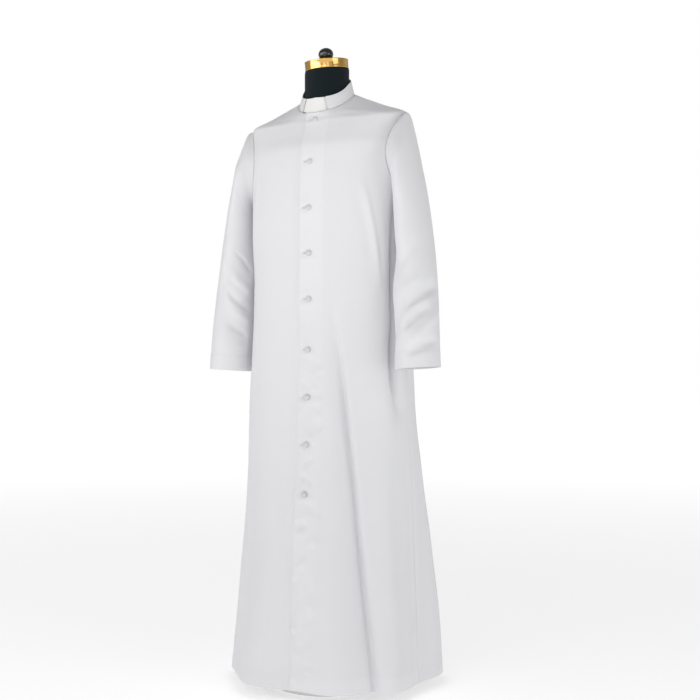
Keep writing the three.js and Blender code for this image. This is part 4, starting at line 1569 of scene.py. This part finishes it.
def torso_loops():
    """Loops of the torso and the neck, which leans a little forward at its top."""
    angle = np.linspace(0, 360, 128, endpoint=False)[None, :]
    z = np.concatenate([
        np.linspace(TORSO_FOOT_Z, 1340, 60), np.linspace(1345, NECK_Z, 40),
    ])[:, None]
    cosine = np.cos(np.radians(angle))

    def column(name):
        return table_value(TORSO_INSETS, name, "z", z)

    end = np.where(cosine > 0, column("front"), column("back"))
    inward = column("side") + (end - column("side")) * np.abs(cosine) ** 1.5
    angles, heights = np.broadcast_arrays(angle, z)
    loops = ring_points(angles, heights) - ring_normals(angles, heights) * inward[..., None]
    below = z[:, 0] < ARMPIT_Z
    loops[below, :, 2] = z[below]
    turn = np.radians(angle[0])
    y = -NECK_RADIUS * np.cos(turn)
    foot = ring_points(angle[0], np.full_like(angle[0], NECK_Z))[:, 2] + NECK_FOOT_LIFT
    top = NECK_TOP_Z + math.tan(NECK_LEAN) * y
    neck = []
    for share in (0, 0.02, 0.1, 0.25, 0.5, 0.75, 0.9, 0.97, 1):
        inset = 1.2 * smooth((share - 0.95) / 0.05)
        scale = (NECK_RADIUS - inset) / NECK_RADIUS
        level = foot + (top - foot) * share
        neck.append(np.stack([NECK_RADIUS * scale * np.sin(turn), y * scale, level], -1))
    return np.concatenate([loops, np.array(neck)])


def lean_neck(loops):
    """Puts pieces of the neck's top in their place, turned forward with it."""
    sine, cosine = math.sin(NECK_LEAN), math.cos(NECK_LEAN)
    x, y, z = loops[..., 0], loops[..., 1], loops[..., 2]
    return np.stack([x, y * cosine - z * sine, NECK_TOP_Z + y * sine + z * cosine], -1)


def arc(centre_r, centre_z, radius, start, end, steps):
    """Points of a profile on a part of a circle, its angles in degrees from outwards."""
    turns = np.radians(np.linspace(start, end, steps))
    return [(centre_r + radius * math.cos(t), centre_z + radius * math.sin(t)) for t in turns]


def ring_profile():
    """The neck ring: a smooth band with a rolled rim at its foot and top, and a shallow dish."""
    foot, top, edge = SEAM, SEAM + RING_HEIGHT, 1.6
    return [
        (4, foot), (RING_RADIUS - 4, foot),
        *arc(RING_RADIUS - edge, foot + edge, edge, -90, 0, 6),
        (RING_RADIUS - 0.5, foot + 2 * edge + 0.6), (RING_RADIUS - 0.5, top - 2 * edge - 0.6),
        *arc(RING_RADIUS - edge, top - edge, edge, 0, 110, 8),
        (RING_RADIUS - 5, top - 0.9), (24, top - 0.5), (4, top - 0.4),
    ]


def knob_profile():
    """The knob: a short collar and a ball."""
    foot = RING_HEIGHT + 2 * SEAM
    ball = KNOB_HEIGHT / 2
    points = [(3, foot), (KNOB_RADIUS * 0.5, foot), (KNOB_RADIUS * 0.52, foot + 1.2)]
    for step in range(22):
        turn = math.pi * (0.17 + 0.815 * step / 21)
        points.append((KNOB_RADIUS * math.sin(turn), foot + ball * (1 - math.cos(turn))))
    return points


def pole_profile():
    """The pole between the base's hub and the torso."""
    foot, head = HUB_HEIGHT + SEAM, TORSO_FOOT_Z - SEAM
    radius = POLE_RADIUS
    return [
        (3, foot), (radius - 1, foot), *arc(radius - 1, foot + 1, 1, -90, 0, 4),
        (radius, foot + 60), (radius, foot + 320), (radius, head - 60),
        *arc(radius - 1, head - 1, 1, 0, 90, 4), (3, head),
    ]


def base_profile():
    """The round base: a rounded plate and the hub that takes the pole."""
    edge = 3
    return [
        (4, 0), (BASE_RADIUS - 2, 0), *arc(BASE_RADIUS - 2, 2, 2, -90, 0, 5),
        *arc(BASE_RADIUS - edge, BASE_HEIGHT - edge, edge, 0, 90, 7),
        (BASE_RADIUS - 40, BASE_HEIGHT), (HUB_RADIUS + 2, BASE_HEIGHT),
        (HUB_RADIUS, BASE_HEIGHT + 0.8), (HUB_RADIUS - 2, HUB_HEIGHT - 3),
        *arc(HUB_RADIUS - 5, HUB_HEIGHT - 3, 3, 0, 90, 6), (4, HUB_HEIGHT),
    ]


# The studio


def make_floor(studio):
    """A plain pale floor that glows softly and turns white far away."""
    finish = Finish("pale_floor", **{
        "Roughness": 0.85, "Specular IOR Level": 0.2, "Emission Strength": 1.0,
    })
    place = object_place(finish)
    cloud = finish.noise(place, 1.5, 3.0)
    colour = (*studio.floor_colour, 1)
    away = finish.out_of("ShaderNodeVectorMath", "Value", {"operation": "LENGTH"}, {0: place})
    far = finish.maths("SMOOTH_MIN", away * 0.16, 1.0, 0.3)
    near_colour = finish.blend(cloud, shade(colour, 0.985), colour)
    finish.feed(
        Base_Color=finish.blend(far, near_colour, BLACK),
        Emission_Color=finish.blend(far, (0.5, 0.5, 0.5, 1), WHITE),
    )
    turn = np.linspace(0, 2 * np.pi, 96, endpoint=False)
    points = np.stack([np.cos(turn), np.sin(turn), np.zeros_like(turn)], -1) * FLOOR_RADIUS
    floor = new_piece("floor", points, [list(range(len(turn)))], finish.material)


def make_world(studio):
    """An even white room, dimmer overhead, in which shiny things mirror upright panels."""
    world = bpy.data.worlds.new("white_room")
    world.use_nodes = True
    tree = world.node_tree
    tree.nodes.clear()

    def background(colour, strength):
        inputs = {"Color": colour, "Strength": strength}
        return add_node(tree, "ShaderNodeBackground", None, inputs).outputs[0]

    def ramp(factor, stops):
        return add_node(tree, "ShaderNodeValToRGB", {"stops": stops}, {0: factor}).outputs[0]

    def mix(factor, first, second):
        inputs = {0: factor, 1: first, 2: second}
        return add_node(tree, "ShaderNodeMixShader", None, inputs).outputs[0]

    way = add_node(tree, "ShaderNodeTexCoord").outputs["Generated"]
    rise = add_node(tree, "ShaderNodeSeparateXYZ", None, {0: way}).outputs["Z"]
    turn = add_node(tree, "ShaderNodeTexGradient", {"gradient_type": "RADIAL"}, {"Vector": way})
    slope = add_node(tree, "ShaderNodeMath", {"operation": "ABSOLUTE"}, {0: rise}).outputs[0]
    ray = add_node(tree, "ShaderNodeLightPath").outputs
    panels = [(panel.turn, (*[panel.bright] * 3, 1)) for panel in STUDIO_PANELS]
    room = background(ramp(rise, ROOM_STOPS), studio.room_light)
    studio_panels = background(ramp(turn.outputs["Fac"], panels), PANEL_STRENGTH)
    mirrored = mix(ramp(slope, LEVEL_STOPS), room, studio_panels)
    lit = mix(ray["Is Glossy Ray"], room, mirrored)
    seen = mix(ray["Is Camera Ray"], lit, background(WHITE, 1.0))
    add_node(tree, "ShaderNodeOutputWorld", None, {"Surface": seen})
    bpy.context.scene.world = world


def add_soft_light(light, power):
    """A rectangular soft light that faces its target."""
    data = bpy.data.lights.new(light.name, "AREA")
    data.shape = "RECTANGLE"
    data.size, data.size_y = light.size
    data.energy = power * light.share
    lamp = bpy.data.objects.new(light.name, data)
    lamp.location = Vector(light.place) * MM
    aim = (Vector(light.target) - Vector(light.place)).normalized()
    lamp.rotation_euler = aim.to_track_quat("-Z", "Y").to_euler()
    bpy.context.scene.collection.objects.link(lamp)


def make_camera(scene):
    """A level camera at the photograph's angle."""
    data = bpy.data.cameras.new("camera")
    data.sensor_width = SENSOR
    data.lens = FOCAL_PIXELS * SENSOR / PHOTO_WIDTH
    data.shift_x = (PHOTO_WIDTH / 2 - AXIS_COLUMN) / PHOTO_WIDTH
    data.shift_y = (HORIZON_ROW - PHOTO_WIDTH / 2) / PHOTO_WIDTH
    camera = bpy.data.objects.new("camera", data)
    turn = math.radians(VIEW_ANGLE)
    back = Vector((math.sin(turn), -math.cos(turn), 0)) * VIEW_DISTANCE
    camera.location = (back + Vector((0, 0, VIEW_HEIGHT))) * MM
    camera.rotation_euler = (math.pi / 2, 0, turn)
    scene.collection.objects.link(camera)
    scene.camera = camera


# The add-on's values


class CassockCloth(bpy.types.PropertyGroup):
    """The cloth's thickness and finish."""

    thickness: bpy.props.FloatProperty(
        name="Thickness", description="Wall of the cloth", default=0.0012, min=0.0005,
        max=0.0018, unit="LENGTH",
    )
    colour: bpy.props.FloatVectorProperty(
        name="Colour", description="Colour of the cloth", default=(0.86, 0.86, 0.875),
        subtype="COLOR", min=0, max=1,
    )
    pitch: bpy.props.FloatProperty(
        name="Weave pitch", description="Width of one rib of the weave", default=0.0007,
        min=0.0002, max=0.003, unit="LENGTH",
    )
    roughness: bpy.props.FloatProperty(
        name="Roughness", description="Roughness of the satin face", default=0.5, min=0, max=1,
        subtype="FACTOR",
    )
    sheen: bpy.props.FloatProperty(
        name="Sheen", description="Soft shine at grazing angles", default=0.22, min=0, max=1,
        subtype="FACTOR",
    )


class CassockButtons(bpy.types.PropertyGroup):
    """The covered buttons."""

    diameter: bpy.props.FloatProperty(
        name="Diameter", description="Width of a covered button", default=0.0142, min=0.008,
        max=0.02, unit="LENGTH",
    )
    dome: bpy.props.FloatProperty(
        name="Height", description="Height of a covered button over the cloth", default=0.0078,
        min=0.003, max=0.009, unit="LENGTH",
    )


class CassockStitches(bpy.types.PropertyGroup):
    """The sewing."""

    pitch: bpy.props.FloatProperty(
        name="Pitch", description="From one stitch to the next", default=0.0029, min=0.001,
        max=0.01, unit="LENGTH",
    )
    length: bpy.props.FloatProperty(
        name="Stitch length", description="Length of a stitch that shows", default=0.0021,
        min=0.0005, max=0.008, unit="LENGTH",
    )
    thread: bpy.props.FloatProperty(
        name="Thread", description="Thickness of the thread", default=0.0004, min=0.0001,
        max=0.001, unit="LENGTH",
    )
    seed: bpy.props.IntProperty(
        name="Seed", description="Choice of the stitches' unevenness", default=5, min=0, max=999,
    )


class CassockStudio(bpy.types.PropertyGroup):
    """The dress form's colours, the floor and the lights."""

    form_colour: bpy.props.FloatVectorProperty(
        name="Form", description="Colour of the form's cover", default=(0.005, 0.0115, 0.0145),
        subtype="COLOR", min=0, max=1,
    )
    gold_colour: bpy.props.FloatVectorProperty(
        name="Neck ring", description="Colour of the neck ring", default=(0.78, 0.48, 0.15),
        subtype="COLOR", min=0, max=1,
    )
    floor_colour: bpy.props.FloatVectorProperty(
        name="Floor", description="Colour of the floor", default=(0.93, 0.93, 0.93),
        subtype="COLOR", min=0, max=1,
    )
    key_power: bpy.props.FloatProperty(
        name="Key light", description="Power of the front light, which the others follow",
        default=9.5, min=0, max=500, unit="POWER",
    )
    room_light: bpy.props.FloatProperty(
        name="Room light", description="Strength of the light from all round", default=0.56,
        min=0, max=4,
    )


# Operators


def cloth_thickness():
    """The cloth's wall in millimetres."""
    return bpy.context.scene.cassock_cloth.thickness / MM


class CASSOCK_OT_fronts(bpy.types.Operator):
    """Make the two fronts of the cassock"""

    bl_idname = "cassock.fronts"
    bl_label = "Fronts"

    def execute(self, context):
        grid, doubled = front_left_grid()
        piece = shell("left_front", grid, cloth_thickness(), cloth_material(), doubled=doubled)
        finish_sheet(piece, grid, "front_left")
        grid = front_right_grid()
        piece = shell("right_front", grid, cloth_thickness(), cloth_material())
        finish_sheet(piece, grid, "front_right")
        return {"FINISHED"}


class CASSOCK_OT_back(bpy.types.Operator):
    """Make the back of the cassock"""

    bl_idname = "cassock.back"
    bl_label = "Back"

    def execute(self, context):
        grid = back_grid()
        piece = shell("back_panel", grid, cloth_thickness(), cloth_material())
        finish_sheet(piece, grid, "back")
        return {"FINISHED"}


class CASSOCK_OT_sleeves(bpy.types.Operator):
    """Make the two sleeves, which hang with no arm in them"""

    bl_idname = "cassock.sleeves"
    bl_label = "Sleeves"

    def execute(self, context):
        for side, label in ((1, "left"), (-1, "right")):
            grid = sleeve_grid(side)
            piece = shell(f"{label}_sleeve", grid, cloth_thickness(), cloth_material(), around=True)
            finish_sheet(piece, grid, f"sleeve_{label}", around=True)
        return {"FINISHED"}


class CASSOCK_OT_collar(bpy.types.Operator):
    """Make the standing collar and its tab"""

    bl_idname = "cassock.collar"
    bl_label = "Collar and tab"

    def execute(self, context):
        grid = collar_grid()
        piece = shell("standing_collar", grid, COLLAR_WALL, cloth_material())
        finish_sheet(piece, grid, "collar")
        plastic = material("tab_plastic", lambda: tab_plastic(TAB_COLOUR))
        piece = shell("white_tab", tab_grid(), TAB_WALL, plastic)
        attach(piece, BODY)
        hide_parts("collar_tab")
        return {"FINISHED"}


class CASSOCK_OT_buttons(bpy.types.Operator):
    """Make the covered buttons and their bound buttonholes"""

    bl_idname = "cassock.buttons"
    bl_label = "Buttons"

    def execute(self, context):
        for index, height in enumerate(BUTTON_HEIGHTS):
            make_button(index, height)
        make_buttonholes()
        return {"FINISHED"}


class CASSOCK_OT_stitching(bpy.types.Operator):
    """Sew the band, the hems, the cuffs and the collar"""

    bl_idname = "cassock.stitching"
    bl_label = "Stitching"

    def execute(self, context):
        (left, _), right, back = front_left_grid(), front_right_grid(), back_grid()
        band_column = 3.0
        lay_stitches("band_stitches", [grid_path(left, False, column=band_column)])
        hem = []
        under_lap = -18  # the right front's last columns, which the left front covers
        for grid, stop in ((left, None), (back, None), (right, under_lap)):
            row = row_at(grid, grid.shape[1] // 2, HEM_BAND)
            path, normals = grid_path(grid, False, row=row)
            hem.append((path[2:-2][:stop], normals[2:-2][:stop]))
        lay_stitches("hem_stitches", hem)
        cuffs = []
        for side in (1, -1):
            grid = sleeve_grid(side)
            cuffs.append(grid_path(grid, True, row=row_at(grid, 0, CUFF_BAND)))
        lay_stitches("cuff_stitches", cuffs)
        collar = collar_grid()
        row = row_at(collar, collar.shape[1] // 2, COLLAR_STITCHING, from_top=True)
        path, normals = grid_path(collar, False, row=row)
        lay_stitches("collar_stitches", [(path[4:-4], normals[4:-4])])
        return {"FINISHED"}


class CASSOCK_OT_form(bpy.types.Operator):
    """Make the dress form, its neck ring, knob, pole and base"""

    bl_idname = "cassock.form"
    bl_label = "Dress form"

    def execute(self, context):
        studio = context.scene.cassock_studio
        jersey = material("black_jersey", lambda: black_jersey((*studio.form_colour, 1)))
        torso = stacked("jersey_torso", torso_loops(), jersey)
        gold = material("polished_gold", lambda: polished_gold((*studio.gold_colour, 1)))
        lacquer = black_lacquer(LACQUER_COLOUR)
        metal = stand_metal(STAND_COLOUR)
        ring = turned("gold_ring", ring_profile(), 128, gold, lean_neck)
        knob = turned("lacquer_knob", knob_profile(), 64, lacquer, lean_neck)
        pole = turned("steel_pole", pole_profile(), 64, metal)
        base = turned("round_base", base_profile(), 160, metal)
        for piece, node, slot in (
            (torso, "form_torso", "form_cover"), (ring, "neck_ring", "gold_metal"),
            (knob, "neck_knob", "knob_lacquer"), (pole, "pole", "stand_metal"),
            (base, "base_plate", "stand_metal"),
        ):
            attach(piece, BODY)
            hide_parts(node)
        return {"FINISHED"}


class CASSOCK_OT_stage(bpy.types.Operator):
    """Make the floor, the lights and the camera"""

    bl_idname = "cassock.stage"
    bl_label = "Stage"

    def execute(self, context):
        studio = context.scene.cassock_studio
        make_floor(studio)
        make_world(studio)
        for light in SOFT_LIGHTS:
            add_soft_light(light, studio.key_power)
        make_camera(context.scene)
        context.scene.view_settings.view_transform = "Standard"
        return {"FINISHED"}


# The panel, and what the add-on registers


class CASSOCK_PT_pieces(bpy.types.Panel):
    """Lists the pieces and their sizes"""

    bl_label = "Cassock"
    bl_space_type = "VIEW_3D"
    bl_region_type = "UI"
    bl_category = "Cassock"

    def draw(self, context):
        for name, group in GROUPS.items():
            box = self.layout.box()
            values = getattr(context.scene, name)
            for key in group.__annotations__:
                box.prop(values, key)
        for operator in OPERATORS:
            self.layout.operator(operator.bl_idname)


GROUPS = {
    "cassock_cloth": CassockCloth,
    "cassock_buttons": CassockButtons,
    "cassock_stitches": CassockStitches,
    "cassock_studio": CassockStudio,
}
OPERATORS = (
    CASSOCK_OT_stage,
    CASSOCK_OT_form,
    CASSOCK_OT_fronts,
    CASSOCK_OT_back,
    CASSOCK_OT_sleeves,
    CASSOCK_OT_collar,
    CASSOCK_OT_buttons,
    CASSOCK_OT_stitching,
)


def register():
    for item in (*GROUPS.values(), *OPERATORS, CASSOCK_PT_pieces):
        bpy.utils.register_class(item)
    for name, group in GROUPS.items():
        setattr(bpy.types.Scene, name, bpy.props.PointerProperty(type=group))


def unregister():
    for name in GROUPS:
        delattr(bpy.types.Scene, name)
    for item in reversed((*GROUPS.values(), *OPERATORS, CASSOCK_PT_pieces)):
        bpy.utils.unregister_class(item)


def main():
    """Makes every piece."""
    register()
    for operator in OPERATORS:
        group, name = operator.bl_idname.split(".")
        getattr(getattr(bpy.ops, group), name)()


if __name__ == "__main__":
    main()
